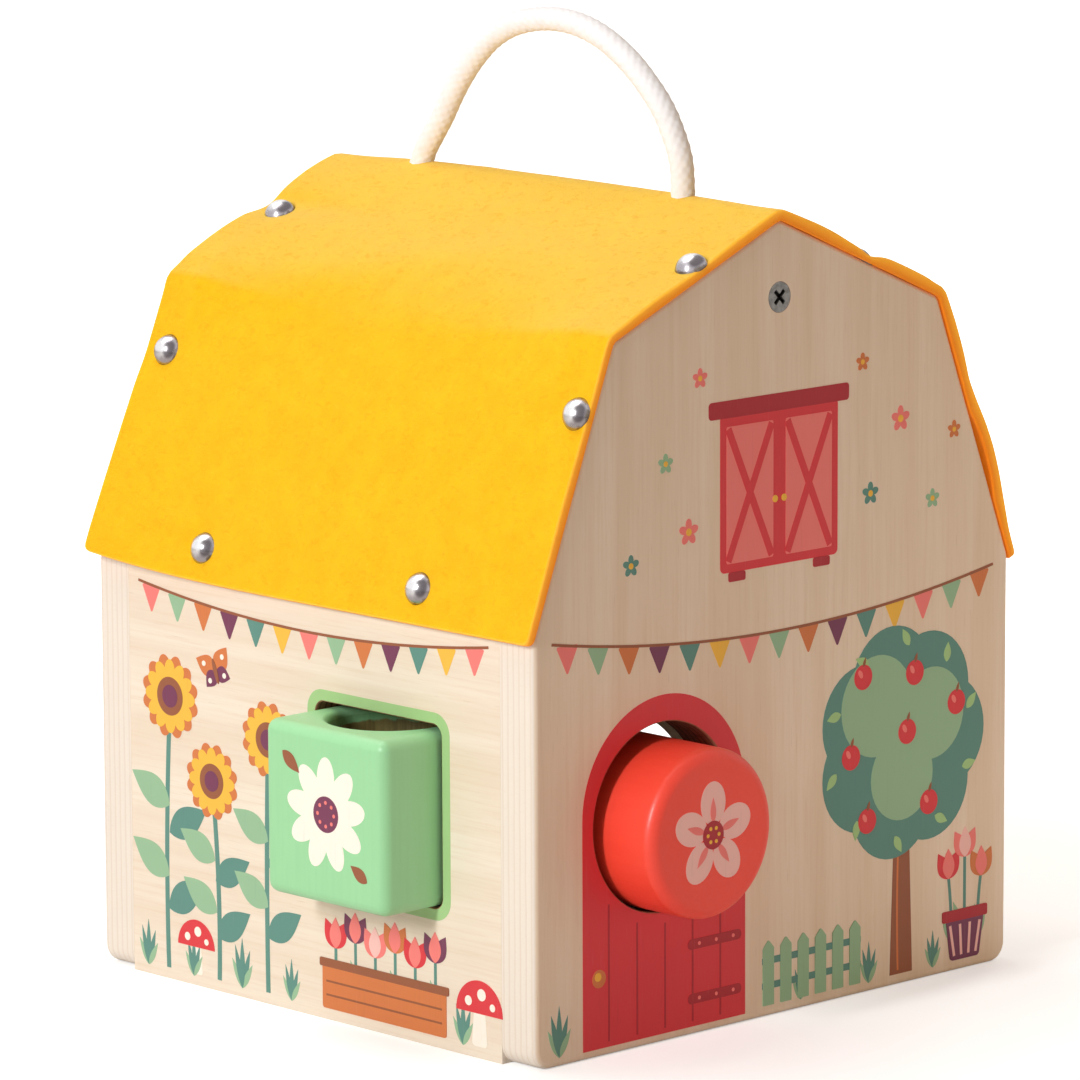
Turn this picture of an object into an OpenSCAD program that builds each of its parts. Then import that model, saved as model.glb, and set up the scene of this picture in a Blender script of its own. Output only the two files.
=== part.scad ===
// Wooden posting house: plywood gables and walls, a felt roof held by dome nails, a rope handle
// and two blocks that post through shaped holes. Millimetres, +Z up, origin at the centre of the base.

/* [House] */
// Width across the gables
house_w = 170; // [150:1:220]
// Depth over both gables
house_d = 164; // [150:1:220]
// Height of the eaves
eave_h = 108; // [100:1:140]
// Height of the roof's knees
knee_h = 178; // [165:1:210]
// Half of the width between the knees
knee_half_w = 58; // [50:1:64]
// Height of the gable's tip
apex_h = 203; // [196:1:240]

/* [Panels] */
// Thickness of the gables
gable_t = 12; // [10:0.5:16]
// Thickness of the side walls
wall_t = 10; // [8:0.5:14]
// Thickness of the floor
floor_t = 6; // [5:0.5:10]
// Radius of the gables' lower corners
foot_r = 5; // [2:0.5:8]
// Radius of the gables' roof corners
roof_r = 3; // [1:0.5:6]
// How far the side walls reach up behind the felt
wall_rise = 16; // [12:1:24]

/* [Posting holes] */
// Diameter of the round hole
round_hole_d = 48; // [45:0.5:54]
// Place of the round hole across the front
round_hole_x = -41; // [-46:0.5:-36]
// Height of the round hole's centre
round_hole_z = 57.5; // [50:0.5:66]
// Side of the square hole
square_hole = 46.5; // [45.5:0.5:52]
// Place of the square hole along the left wall
square_hole_y = -25.5; // [-28:0.5:-18]
// Height of the square hole's centre
square_hole_z = 58.75; // [52:0.25:66]
// Corner radius of the square hole
square_hole_r = 3; // [1:0.5:4]
// Diameter of the peep hole in the right wall
peep_d = 36; // [24:1:38]
// Place of the peep hole along the right wall
peep_y = 44; // [20:1:45]
// Height of the peep hole's centre
peep_z = 30; // [28:1:60]

/* [Doorway] */
// Width of the open doorway in the back
door_w = 52; // [48:1:70]
// Height of the doorway above the floor
door_h = 50; // [46:1:80]

/* [Blocks] */
// Diameter of the round block
round_block_d = 43; // [36:0.5:45]
// How far the round block lies to the right of its hole's centre
round_block_aside = 1; // [0:0.1:1.2]
// Length of the round block
round_block_l = 36; // [34:1:40]
// How far the round block stands out of the front
round_block_out = 16.5; // [10:0.5:24]
// Side of the square block
square_block = 44.5; // [38:0.5:45]
// How far the square block stands out of the wall
square_block_out = 18.5; // [10:0.5:24]
// Diameter of the bore through the square block
block_bore_d = 30.5; // [20:0.5:35]
// Rounding of the blocks' edges
block_r = 3; // [1:0.5:4]

/* [Roof] */
// Thickness of the felt
felt_t = 3; // [2:0.5:5]
// How far the felt stands proud of the gables
felt_proud = 0.5; // [0:0.25:3]
// How far the felt runs past the eaves, along its slope
felt_drop = 2; // [0:0.5:4]
// Diameter of a nail's dome
dome_d = 8.5; // [6:0.5:10]
// Height of a nail's dome
dome_h = 3; // [2:0.25:4]
// Diameter of a nail's shank
shank_d = 1.8; // [1.4:0.2:2.4]
// How deep the nails go into the wood
nail_depth = 6; // [4:0.5:6.5]
// From the front face to the front row of nails
nail_front = 3.5; // [3:0.5:8]
// From the back face to the back row of nails
nail_back = 7.5; // [3:0.5:8]
// From the ridge down to the upper nails, along the left slope
nail_upper = 29; // [20:1:45]
// From the knee down to the lower nails, along the left slope
nail_lower = 19; // [12:1:40]
// From the ridge down to the upper nails, along the right slope
nail_upper_right = 35; // [20:1:45]
// From the knee down to the lower nails, along the right slope
nail_lower_right = 25; // [12:1:40]
// From the eave up to the bottom row of nails, along the slope
nail_eave = 7; // [5:0.5:8]
// Distance between the two nails of the bottom row
nail_pitch = 81; // [50:1:110]

/* [Ridge beam and screws] */
// Width of the ridge beam
beam_w = 22; // [18:1:30]
// Height of the ridge beam
beam_h = 31; // [28:1:40]
// From the gable's tip down to the screws that hold the beam
screw_drop = 19.5; // [16:0.5:22]
// Diameter of the screw heads
screw_head_d = 7.7; // [6:0.1:9]
// Length of each arm of the cross recess, end to end
recess_l = 4.6; // [3:0.1:5.5]
// Width of the cross recess
recess_w = 1.1; // [0.6:0.1:1.5]
// Depth of the cross recess
recess_depth = 1.5; // [0.8:0.1:1.7]
// Diameter of the screw shanks
screw_d = 4; // [3:0.25:5]
// Length of the screws
screw_l = 24; // [20:1:26]

/* [Dowels] */
// Diameter of the wall dowels
dowel_d = 6; // [4:0.5:6]
// Diameter of the floor dowels
floor_dowel_d = 3; // [2:0.5:3]
// How deep a dowel goes into a gable
dowel_in_gable = 8; // [5:0.5:8.5]
// How deep a dowel goes into a wall or the floor
dowel_in_wall = 12; // [8:0.5:14]
// Height of the lower wall dowels
dowel_low_z = 13; // [11:0.5:14]
// Height of the upper wall dowels
dowel_high_z = 93; // [90:1:96]
// From the middle to each floor dowel
floor_dowel_x = 52; // [48:1:60]

/* [Handle] */
// Diameter of the rope
rope_d = 6.2; // [5:0.2:7]
// Diameter of the knots under the beam
knot_d = 15; // [11:0.5:18]

/* [Hidden] */

// Clearances: felt on wood, nails and screws in their holes, dowels, the rope in its bore and at its
// hinge, how far its ends stand out of the felt, and a block on its hole
felt_gap = 0.2;
nail_fit = 0.15;
screw_fit = 0.1;
dowel_fit = 0.05;
rope_fit = 0.2;
rope_play = 0.3;
stub_proud = 0.5;
block_rest = 0.3;
// Overlap of cutting tools past a face
past = 1;
// Steps in each drawn arc
ARC = 6;
$fn = 48;

// The handle's route above its hinge line, back root to front root, as [Y, rise]
ROPE = [[47.8, 0], [44.2, 5], [40.9, 9.5], [37.8, 14.5], [33.6, 20.3], [28.4, 26], [22, 31.3],
    [13, 35.5], [2, 37.5], [-8.5, 37.1], [-18.6, 34.3], [-28, 29.2], [-35.2, 23.4], [-41, 17.2],
    [-45, 10.5], [-47.2, 5], [-47.8, 0]];
ROPE_SIDES = 10;
TIP_ANGLES = [75, 45, 20];
rope_r = rope_d / 2;
rope_y = ROPE[0].x;

wall_x = house_w / 2 - wall_t;
beam_z = apex_h - beam_h;
screw_z = apex_h - screw_drop;
gable_y = house_d / 2 - gable_t;
felt_y = house_d / 2 + felt_proud;

// The roof line over the wood, left eave to right eave, as [X, Z]
ROOF = [[-house_w / 2, eave_h], [-knee_half_w, knee_h], [0, apex_h], [knee_half_w, knee_h],
    [house_w / 2, eave_h]];

// Vectors and arcs
function unit(v) = v / norm(v);
function left_of(v) = [-v.y, v.x];
function turn(a) = a > 180 ? a - 360 : a < -180 ? a + 360 : a;
function arc_between(c, s, e) =
    let (a = atan2(s.y, s.x), sweep = turn(atan2(e.y, e.x) - a), r = norm(s))
    [for (i = [0:ARC]) c + r * [cos(a + sweep * i / ARC), sin(a + sweep * i / ARC)]];
function fillet(a, b, c, r) =
    let (u = unit(a - b), w = unit(c - b), half = acos(u * w) / 2,
        centre = b + unit(u + w) * r / sin(half), reach = r / tan(half))
    arc_between(centre, b + u * reach - centre, b + w * reach - centre);
// A closed outline with each corner rounded by its own radius
function rounded(p, r) =
    let (n = len(p))
    [for (i = [0:n - 1]) each r[i] > 0 ? fillet(p[(i + n - 1) % n], p[i], p[(i + 1) % n], r[i]) : [p[i]]];
// An open line moved sideways by d, then rounded at its inner corners
function beside(p, d) =
    let (n = len(p), side = [for (i = [0:n - 2]) left_of(unit(p[i + 1] - p[i]))])
    [for (i = [0:n - 1]) i == 0 ? p[0] + d * side[0] : i == n - 1 ? p[i] + d * side[n - 2]
        : p[i] + d * (side[i - 1] + side[i]) / (1 + side[i - 1] * side[i])];
function eased(p, r) =
    let (n = len(p))
    [p[0], for (i = [1:n - 2]) each fillet(p[i - 1], p[i], p[i + 1], r), p[n - 1]];
function reversed(p) = [for (i = [len(p) - 1:-1:0]) p[i]];

// Places on the left half of the roof: down the upper slope, down the lower slope, and their normals
upper_dir = unit(ROOF[1] - ROOF[2]);
lower_dir = unit(ROOF[0] - ROOF[1]);
upper_normal = -left_of(upper_dir);
lower_normal = -left_of(lower_dir);
function on_roof(x) = apex_h - abs(x) * (apex_h - knee_h) / knee_half_w;
function on_eave(rise) = -house_w / 2 + rise * (house_w / 2 - knee_half_w) / (knee_h - eave_h);

// Nails along the gables and the eave of a half, as if on the left: [X and Z on the wood, normal, Y]
function gable_nails(upper, lower) = [
    for (y = [-house_d / 2 + nail_front, house_d / 2 - nail_back]) each [
        [ROOF[2] + upper * upper_dir, upper_normal, y],
        [ROOF[1] + lower * lower_dir, lower_normal, y]]];
GABLE_NAILS = [gable_nails(nail_upper, nail_lower), gable_nails(nail_upper_right, nail_lower_right)];
EAVE_ROW = [
    for (y = [-nail_pitch / 2, nail_pitch / 2]) [ROOF[0] - nail_eave * lower_dir, lower_normal, y]];
EAVE_NAILS = [EAVE_ROW, EAVE_ROW];

// Where the rope leaves the felt, and its hinge line just above
felt_line = eased(beside(ROOF, felt_gap + felt_t), roof_r + felt_gap + felt_t);
ridge_top = max([for (p = felt_line) p.y]);
rope_stub_top = ridge_top + stub_proud;
rope_axis_z = rope_stub_top + rope_r + rope_play;
knot_z = beam_z - knot_d / 2;

// Seats of the blocks: each rests just clear of the bottom of its hole
round_block_z = round_hole_z - round_hole_d / 2 + round_block_d / 2 + block_rest;
square_block_z = square_hole_z - square_hole / 2 + square_block / 2 + block_rest;

// Shapes that repeat
// An outline in X and Z, extruded along Y from y0
module along_y(y0, length) {
    translate([0, y0 + length, 0]) rotate([90, 0, 0]) linear_extrude(length) children();
}
module both_ends() {
    for (end = [0, 1]) mirror([0, end, 0]) children();
}
module at_nails(places, side) {
    mirror([side, 0, 0])
        for (n = places[side])
            translate([n[0].x, n[2], n[0].y]) rotate([0, atan2(n[1].x, n[1].y), 0]) children();
}
module nail_holes(places) {
    for (side = [0, 1]) at_nails(places, side) translate([0, 0, -nail_depth - nail_fit])
        cylinder(d = shank_d + 2 * nail_fit, h = nail_depth + felt_t + dome_h);
}
module wall_dowel_places() {
    for (x = [-1, 1], z = [dowel_low_z, dowel_high_z])
        translate([x * (wall_x + wall_t / 2), -gable_y, z]) rotate([-90, 0, 0]) children();
}
module floor_dowel_places() {
    for (x = [-1, 1]) translate([x * floor_dowel_x, -gable_y, floor_t / 2]) rotate([-90, 0, 0]) children();
}
// A dowel along Z, its middle plane where the pieces meet, made larger all round by room
module dowel(d, room) {
    translate([0, 0, -dowel_in_gable - room])
        cylinder(d = d + 2 * room, h = dowel_in_gable + dowel_in_wall + 2 * room);
}
module dowel_holes() {
    wall_dowel_places() dowel(dowel_d, dowel_fit);
    floor_dowel_places() dowel(floor_dowel_d, dowel_fit);
}
// A countersunk screw along +Y from the front face, made larger all round by room
module screw_body(room) {
    head_h = (screw_head_d - screw_d) / 2;
    translate([0, -house_d / 2, screw_z]) rotate([-90, 0, 0]) {
        cylinder(d1 = screw_head_d + 2 * room, d2 = screw_d + 2 * room, h = head_h);
        cylinder(d = screw_d + 2 * room, h = screw_l + room);
    }
}
module screw() {
    difference() {
        screw_body(0);
        translate([0, -house_d / 2, screw_z]) for (turn_y = [45, 135]) rotate([0, turn_y, 0])
            cube([recess_l, 2 * recess_depth, recess_w], center = true);
    }
}
module gable_blank() {
    along_y(-house_d / 2, gable_t)
        polygon(rounded(concat(ROOF, [[house_w / 2, 0], [-house_w / 2, 0]]),
            [for (i = [0:6]) i < 5 ? roof_r : foot_r]));
}
// A side wall on the left, its top cut to the roof's slope
module wall_blank() {
    top = eave_h + wall_rise;
    along_y(-gable_y, 2 * gable_y)
        polygon([[-house_w / 2, 0], [-wall_x, 0], [-wall_x, top],
            [min(-wall_x - past, on_eave(wall_rise)), top], [-house_w / 2, eave_h]]);
}
module rounded_square(side, r) {
    h = side / 2;
    polygon(rounded([[-h, -h], [h, -h], [h, h], [-h, h]], [r, r, r, r]));
}
// A short length of rope through the felt and the beam, with its knot below
module rope_end() {
    translate([0, -rope_y, 0]) union() {
        translate([0, 0, knot_z]) cylinder(d = rope_d, h = rope_stub_top - knot_z);
        translate([0, 0, knot_z]) sphere(d = knot_d - 2 * rope_fit);
    }
}
module rope_bores() {
    for (y = [-rope_y, rope_y]) translate([0, y, beam_z - past])
        cylinder(d = rope_d + 2 * rope_fit, h = ridge_top - beam_z + 2 * past);
}

// Sub-parts
module front_panel() {
    color("burlywood") difference() {
        gable_blank();
        translate([round_hole_x, 0, round_hole_z]) rotate([90, 0, 0]) cylinder(d = round_hole_d, h = house_d);
        screw_body(screw_fit);
        dowel_holes();
        nail_holes(GABLE_NAILS);
    }
}
module back_panel() {
    color("burlywood") difference() {
        mirror([0, 1, 0]) difference() {
            gable_blank();
            screw_body(screw_fit);
            dowel_holes();
        }
        nail_holes(GABLE_NAILS);
        along_y(gable_y - past, gable_t + 2 * past) doorway();
    }
}
module doorway() {
    spring_z = floor_t + door_h - door_w / 2;
    translate([0, spring_z]) circle(d = door_w);
    translate([-door_w / 2, floor_t]) square([door_w, spring_z - floor_t]);
}
module left_wall() {
    color("wheat") difference() {
        wall_blank();
        translate([-house_w / 2 - past, square_hole_y, square_hole_z]) rotate([90, 0, 90])
            linear_extrude(wall_t + 2 * past) rounded_square(square_hole, square_hole_r);
        both_ends() dowel_holes();
        nail_holes(EAVE_NAILS);
    }
}
module right_wall() {
    color("wheat") difference() {
        mirror([1, 0, 0]) wall_blank();
        translate([wall_x - past, peep_y, peep_z]) rotate([0, 90, 0])
            cylinder(d = peep_d, h = wall_t + 2 * past);
        both_ends() dowel_holes();
        nail_holes(EAVE_NAILS);
    }
}
module floor_panel() {
    color("tan") difference() {
        translate([-wall_x, -gable_y, 0]) cube([2 * wall_x, 2 * gable_y, floor_t]);
        both_ends() floor_dowel_places() dowel(floor_dowel_d, dowel_fit);
    }
}
module ridge_beam() {
    h = beam_w / 2;
    color("tan") difference() {
        along_y(-gable_y, 2 * gable_y)
            polygon(rounded([[-h, beam_z], [h, beam_z], [h, on_roof(h)], [0, apex_h], [-h, on_roof(h)]],
                [0, 0, 0, roof_r, 0]));
        both_ends() screw_body(screw_fit);
        rope_bores();
    }
}
module wall_dowels_front() {
    color("peru") wall_dowel_places() dowel(dowel_d, 0);
}
module wall_dowels_back() {
    color("peru") mirror([0, 1, 0]) wall_dowel_places() dowel(dowel_d, 0);
}
module floor_dowels() {
    color("peru") both_ends() floor_dowel_places() dowel(floor_dowel_d, 0);
}
module ridge_screw_front() {
    color("silver") screw();
}
module ridge_screw_back() {
    color("silver") mirror([0, 1, 0]) screw();
}
module roof_felt() {
    drop = felt_drop * lower_dir;
    line = concat([ROOF[0] + drop], [ROOF[1], ROOF[2], ROOF[3]], [ROOF[4] + [-drop.x, drop.y]]);
    inner = eased(beside(line, felt_gap), roof_r + felt_gap);
    outer = eased(beside(line, felt_gap + felt_t), roof_r + felt_gap + felt_t);
    color("gold") difference() {
        along_y(-felt_y, 2 * felt_y) polygon(concat(outer, reversed(inner)));
        nail_holes(GABLE_NAILS);
        nail_holes(EAVE_NAILS);
        rope_bores();
    }
}
// Nails on one half of the roof: a dome on the felt and a shank into the wood
module roof_nails(places, side) {
    dome_r = dome_d / 2;
    ball_r = (dome_r * dome_r + dome_h * dome_h) / (2 * dome_h);
    seat = felt_gap + felt_t;
    color("lightgray") at_nails(places, side) union() {
        intersection() {
            translate([0, 0, seat + dome_h - ball_r]) sphere(r = ball_r);
            translate([0, 0, seat]) cylinder(r = dome_r + past, h = dome_h + past);
        }
        translate([0, 0, -nail_depth]) cylinder(d = shank_d, h = nail_depth + seat + dome_h / 2);
    }
}
module gable_nails_left() {
    roof_nails(GABLE_NAILS, 0);
}
module gable_nails_right() {
    roof_nails(GABLE_NAILS, 1);
}
module eave_nails_left() {
    roof_nails(EAVE_NAILS, 0);
}
module eave_nails_right() {
    roof_nails(EAVE_NAILS, 1);
}
module rope_end_front() {
    color("ivory") rope_end();
}
module rope_end_back() {
    color("ivory") mirror([0, 1, 0]) rope_end();
}
// The free loop of rope: one ring of points at each point of the route, and a round tip at each root
function rope_dir(i) = unit(ROPE[min(i + 1, len(ROPE) - 1)] - ROPE[max(i - 1, 0)]);
function rope_ring(c, dir, r) =
    let (across = left_of(dir))
    [for (k = [0:ROPE_SIDES - 1])
        let (a = 360 * k / ROPE_SIDES, q = c + r * sin(a) * across)
        [r * cos(a), q.x, rope_axis_z + q.y]];
// A ring on the round tip past point i, at an angle round the tip, on the side that sign gives
function rope_tip(i, angle, sign) =
    rope_ring(ROPE[i] + sign * rope_r * sin(angle) * rope_dir(i), rope_dir(i), rope_r * cos(angle));
module handle_rope() {
    last = len(ROPE) - 1;
    rings = concat(
        [for (a = TIP_ANGLES) rope_tip(0, a, -1)],
        [for (i = [0:last]) rope_ring(ROPE[i], rope_dir(i), rope_r)],
        [for (a = reversed(TIP_ANGLES)) rope_tip(last, a, 1)]);
    n = ROPE_SIDES;
    m = len(rings);
    faces = concat(
        [for (k = [1:n - 2]) [0, k + 1, k]],
        [for (i = [0:m - 2], k = [0:n - 1]) each
            let (a = i * n + k, b = i * n + (k + 1) % n) [[a, b, b + n], [a, b + n, a + n]]],
        [for (k = [1:n - 2]) [for (v = [0, k, k + 1]) (m - 1) * n + v]]);
    color("ivory") polyhedron([for (r = rings) each r], faces);
}
module round_block() {
    r = round_block_d / 2;
    l = round_block_l;
    profile = rounded([[0, 0], [r, 0], [r, l], [0, l]], [0, block_r, block_r, 0]);
    color("tomato")
        translate([round_hole_x + round_block_aside, -house_d / 2 - round_block_out, round_block_z])
            rotate([-90, 0, 0]) rotate_extrude() polygon(profile);
}
// A cube with rounded edges: the common part of three rounded bars
module square_block() {
    s = square_block;
    color("lightgreen")
        translate([-house_w / 2 - square_block_out + s / 2, square_hole_y, square_block_z]) difference() {
            intersection() {
                linear_extrude(s, center = true) rounded_square(s, block_r);
                rotate([90, 0, 0]) linear_extrude(s, center = true) rounded_square(s, block_r);
                rotate([0, 90, 0]) linear_extrude(s, center = true) rounded_square(s, block_r);
            }
            cylinder(d = block_bore_d, h = s + 2 * past, center = true);
        }
}

front_panel();
back_panel();
left_wall();
right_wall();
floor_panel();
ridge_beam();
wall_dowels_front();
wall_dowels_back();
floor_dowels();
ridge_screw_front();
ridge_screw_back();
roof_felt();
gable_nails_left();
gable_nails_right();
eave_nails_left();
eave_nails_right();
rope_end_front();
rope_end_back();
handle_rope();
round_block();
square_block();
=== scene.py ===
"""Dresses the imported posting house: plywood, felt, rope, nails, painted blocks and garden prints.

Sizes are in millimetres and become metres where a mesh is made. Each panel has a frame of its own:
u runs to the right as one looks at its face, v runs up and h runs out of the face.
"""
from math import acos, asin, atan2, copysign, cos, degrees, exp, hypot, pi, radians, sin, sqrt, tan

import bpy
import numpy as np
from mathutils import Matrix, Vector, noise
from mathutils.geometry import tessellate_polygon


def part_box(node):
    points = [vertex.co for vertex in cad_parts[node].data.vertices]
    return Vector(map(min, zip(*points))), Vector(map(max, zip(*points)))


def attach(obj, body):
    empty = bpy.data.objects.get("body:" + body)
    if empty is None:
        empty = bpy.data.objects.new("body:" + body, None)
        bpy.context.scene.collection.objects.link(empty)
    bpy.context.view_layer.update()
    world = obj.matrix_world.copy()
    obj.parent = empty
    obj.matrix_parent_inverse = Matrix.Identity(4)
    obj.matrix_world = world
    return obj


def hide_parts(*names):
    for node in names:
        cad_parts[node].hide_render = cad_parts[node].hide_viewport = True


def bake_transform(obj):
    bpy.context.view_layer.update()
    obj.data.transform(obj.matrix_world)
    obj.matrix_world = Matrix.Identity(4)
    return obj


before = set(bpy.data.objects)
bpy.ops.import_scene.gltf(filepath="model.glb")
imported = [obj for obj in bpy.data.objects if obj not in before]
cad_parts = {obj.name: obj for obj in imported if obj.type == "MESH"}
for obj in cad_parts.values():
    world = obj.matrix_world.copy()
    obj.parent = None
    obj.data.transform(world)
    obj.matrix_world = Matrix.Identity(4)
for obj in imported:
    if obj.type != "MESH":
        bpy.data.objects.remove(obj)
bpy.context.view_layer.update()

MM = 0.001
UP = (0, 0, 1)

# The roof line over the wood, from the ridge down the right side: [x, z]
RIDGE = np.array([0.0, 203.0])
KNEE = np.array([58.0, 178.0])
EAVE = np.array([85.0, 108.0])
ROOF_R = 3.0
FOOT_R = 5.0
UPPER_SLOPE = float(np.linalg.norm(KNEE - RIDGE))
ROOF_RUN = UPPER_SLOPE + float(np.linalg.norm(EAVE - KNEE))

# Softened edges of the sawn panels and of the blocks
PANEL_EDGE_R = 1.5
SEAM_EDGE_R = 0.15
WALL_EDGE_R = 0.15
HOLE_EDGE_R = 0.3
SCREW_EDGE_R = 0.05
BLOCK_EDGE_R = 3.0
EDGE_STEPS = 4

# Posting holes and openings
ROUND_HOLE_R = 24.0
ROUND_HOLE = np.array([-41.0, 57.5])
SQUARE_HOLE = 46.5
SQUARE_HOLE_R = 3.0
SQUARE_HOLE_AT = np.array([25.5, 58.75])
PEEP_R = 18.0
PEEP_AT = np.array([44.0, 30.0])
DOOR_HALF_W = 26.0
DOOR_SILL = 6.0
DOOR_SPRING = 30.0
BORE_R = 15.25
BORE_EDGE_R = 1.8
SCREW_AT = np.array([0.0, 183.5])
SCREW_R = 3.9
SCREW_SIDES = 48

# Felt, its nails and the rope
FELT_T = 3.0
FELT_GAP = 0.2
FELT_DROP = 2.0
DOME_R = 4.25
DOME_H = 3.0
NAIL_UPPER = {"left": 29.0, "right": 35.0}
NAIL_LOWER = {"left": 19.0, "right": 25.0}
NAIL_EAVE = 7.0
NAIL_HALF_PITCH = 40.5
NAIL_FRONT_Y = -78.5
NAIL_BACK_Y = 74.5
ROPE_R = 3.1
ROPE_AXIS_Z = 209.833
# The handle's route above its hinge line, back root to front root: [y, rise]
ROPE_ROUTE = [
    [49.9, -5.3], [47.8, 0], [44.2, 5], [40.9, 9.5], [37.8, 14.5], [33.6, 20.3], [28.4, 26], [22, 31.3],
    [13, 35.5], [2, 37.5], [-8.5, 37.1], [-18.6, 34.3], [-28, 29.2], [-35.2, 23.4], [-41, 17.2],
    [-45, 10.5], [-47.2, 5], [-47.8, 0], [-48, -5.3]]


def box_mm(node):
    """Lowest and highest corner of a CAD node, in millimetres."""
    low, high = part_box(node)
    return np.array(low) / MM, np.array(high) / MM


front_low, front_high = box_mm("front_panel")
left_low, left_high = box_mm("left_wall")
round_low, round_high = box_mm("round_block")
square_low, square_high = box_mm("square_block")
round_axis = (round_low + round_high) / 2
square_axis = (square_low + square_high) / 2
BACK_Y = box_mm("back_panel")[1][1]
RIGHT_X = box_mm("right_wall")[1][0]
FELT_HALF_Y = box_mm("roof_felt")[1][1]
GABLE_T = front_high[1] - front_low[1]
WALL_T = left_high[0] - left_low[0]
WALL_HALF = left_high[1]
SQUARE_SIDE = square_high[2] - square_low[2]


# Lines and outlines

def unit(v):
    return v / np.linalg.norm(v)


def runs_of(line):
    """Each point's run along a line from its start."""
    return np.concatenate([[0], np.cumsum(np.linalg.norm(np.diff(line, axis=0), axis=1))])


def at_runs(at, run, line):
    """A line's points at some runs along it."""
    return np.stack([np.interp(at, run, column) for column in line.T], axis=-1)


def directions(line):
    along = np.gradient(line, axis=0)
    return along / np.linalg.norm(along, axis=1)[:, None]


def left_of(along):
    return np.stack([-along[:, 1], along[:, 0]], axis=1)


def rays(angles):
    return np.stack([np.cos(angles), np.sin(angles)], axis=1)


def arc(centre, radius, start, end, steps):
    """Points on an arc, from one angle to another in degrees."""
    return np.array(centre) + radius * rays(np.radians(np.linspace(start, end, steps + 1)))


def circle(centre, radius, steps=96):
    return arc(centre, radius, 0, 360, steps)[:-1]


def turned(points, angle):
    c, s = cos(radians(angle)), sin(radians(angle))
    return np.array(points) @ np.array([[c, s], [-s, c]])


def polar(centre, reach, angle):
    """The point at a distance and an angle in degrees from a centre."""
    return np.array(centre) + turned([[reach, 0]], angle)[0]


def ellipse(centre, half_u, half_v, turn=0.0, steps=32):
    """An ellipse, turned by an angle in degrees."""
    return turned(circle((0, 0), 1, steps) * [half_u, half_v], turn) + np.array(centre)


def fillet(a, b, c, radius, steps=8):
    """The corner b of the line a, b, c, rounded by a radius."""
    to_a, to_c = unit(a - b), unit(c - b)
    half = acos(np.clip(to_a @ to_c, -1, 1)) / 2
    centre = b + unit(to_a + to_c) * radius / sin(half)
    ends = [b + to * radius / tan(half) - centre for to in (to_a, to_c)]
    start, end = (atan2(v, u) for u, v in ends)
    sweep = (end - start + pi) % (2 * pi) - pi
    return centre + radius * rays(start + sweep * np.linspace(0, 1, steps + 1))


def rounded(corners, radii):
    """A closed outline with each corner rounded by its own radius."""
    corners = np.array(corners, float)
    pieces = []
    for i, corner in enumerate(corners):
        before, after = corners[i - 1], corners[(i + 1) % len(corners)]
        pieces.append(fillet(before, corner, after, radii[i]) if radii[i] else corner[None])
    return np.concatenate(pieces)


def rectangle(low, high, radius=0.0):
    return rounded([low, (high[0], low[1]), high, (low[0], high[1])], [radius] * 4)


def plate(u, v, width, height, radius):
    """A rectangle on the level v, with u at its middle."""
    return rectangle((u - width / 2, v), (u + width / 2, v + height), radius)


def square(centre, side, radius=0.0):
    return rectangle(np.array(centre) - side / 2, np.array(centre) + side / 2, radius)


def doorway(half_w, low, spring, centre=0.0):
    """A door's outline: straight jambs from low to the spring line, under a half-round arch."""
    arch = arc((centre, spring), half_w, 0, 180, 48)
    return np.concatenate([[(centre - half_w, low), (centre + half_w, low)], arch])


def gable():
    mirrored = [-1, 1]
    corners = [(-EAVE[0], 0), (EAVE[0], 0), EAVE, KNEE, RIDGE, KNEE * mirrored, EAVE * mirrored]
    return rounded(corners, [FOOT_R, FOOT_R] + [ROOF_R] * 5)


# Meshes

# A direction that no tube starts along
ASKEW = [0.3, 0.5, 0.8]


def wound(ring, forward):
    """The ring, turned to run counter-clockwise, or clockwise for a hole."""
    nxt = np.roll(ring, -1, axis=0)
    area = np.sum(ring[:, 0] * nxt[:, 1] - nxt[:, 0] * ring[:, 1])
    return ring if (area > 0) == forward else ring[::-1]


def outward(ring):
    """How far each corner moves when the ring's edges move outwards by one."""
    along = np.roll(ring, -1, axis=0) - ring
    after = -left_of(along / np.linalg.norm(along, axis=1)[:, None])
    before = np.roll(after, 1, axis=0)
    return (before + after) / (1 + np.sum(before * after, axis=1))[:, None]


def band(start, n):
    """Faces between a ring of n points and the next ring."""
    pairs = [(start + i, start + (i + 1) % n) for i in range(n)]
    return [(a, b, b + n, a + n) for a, b in pairs]


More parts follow.
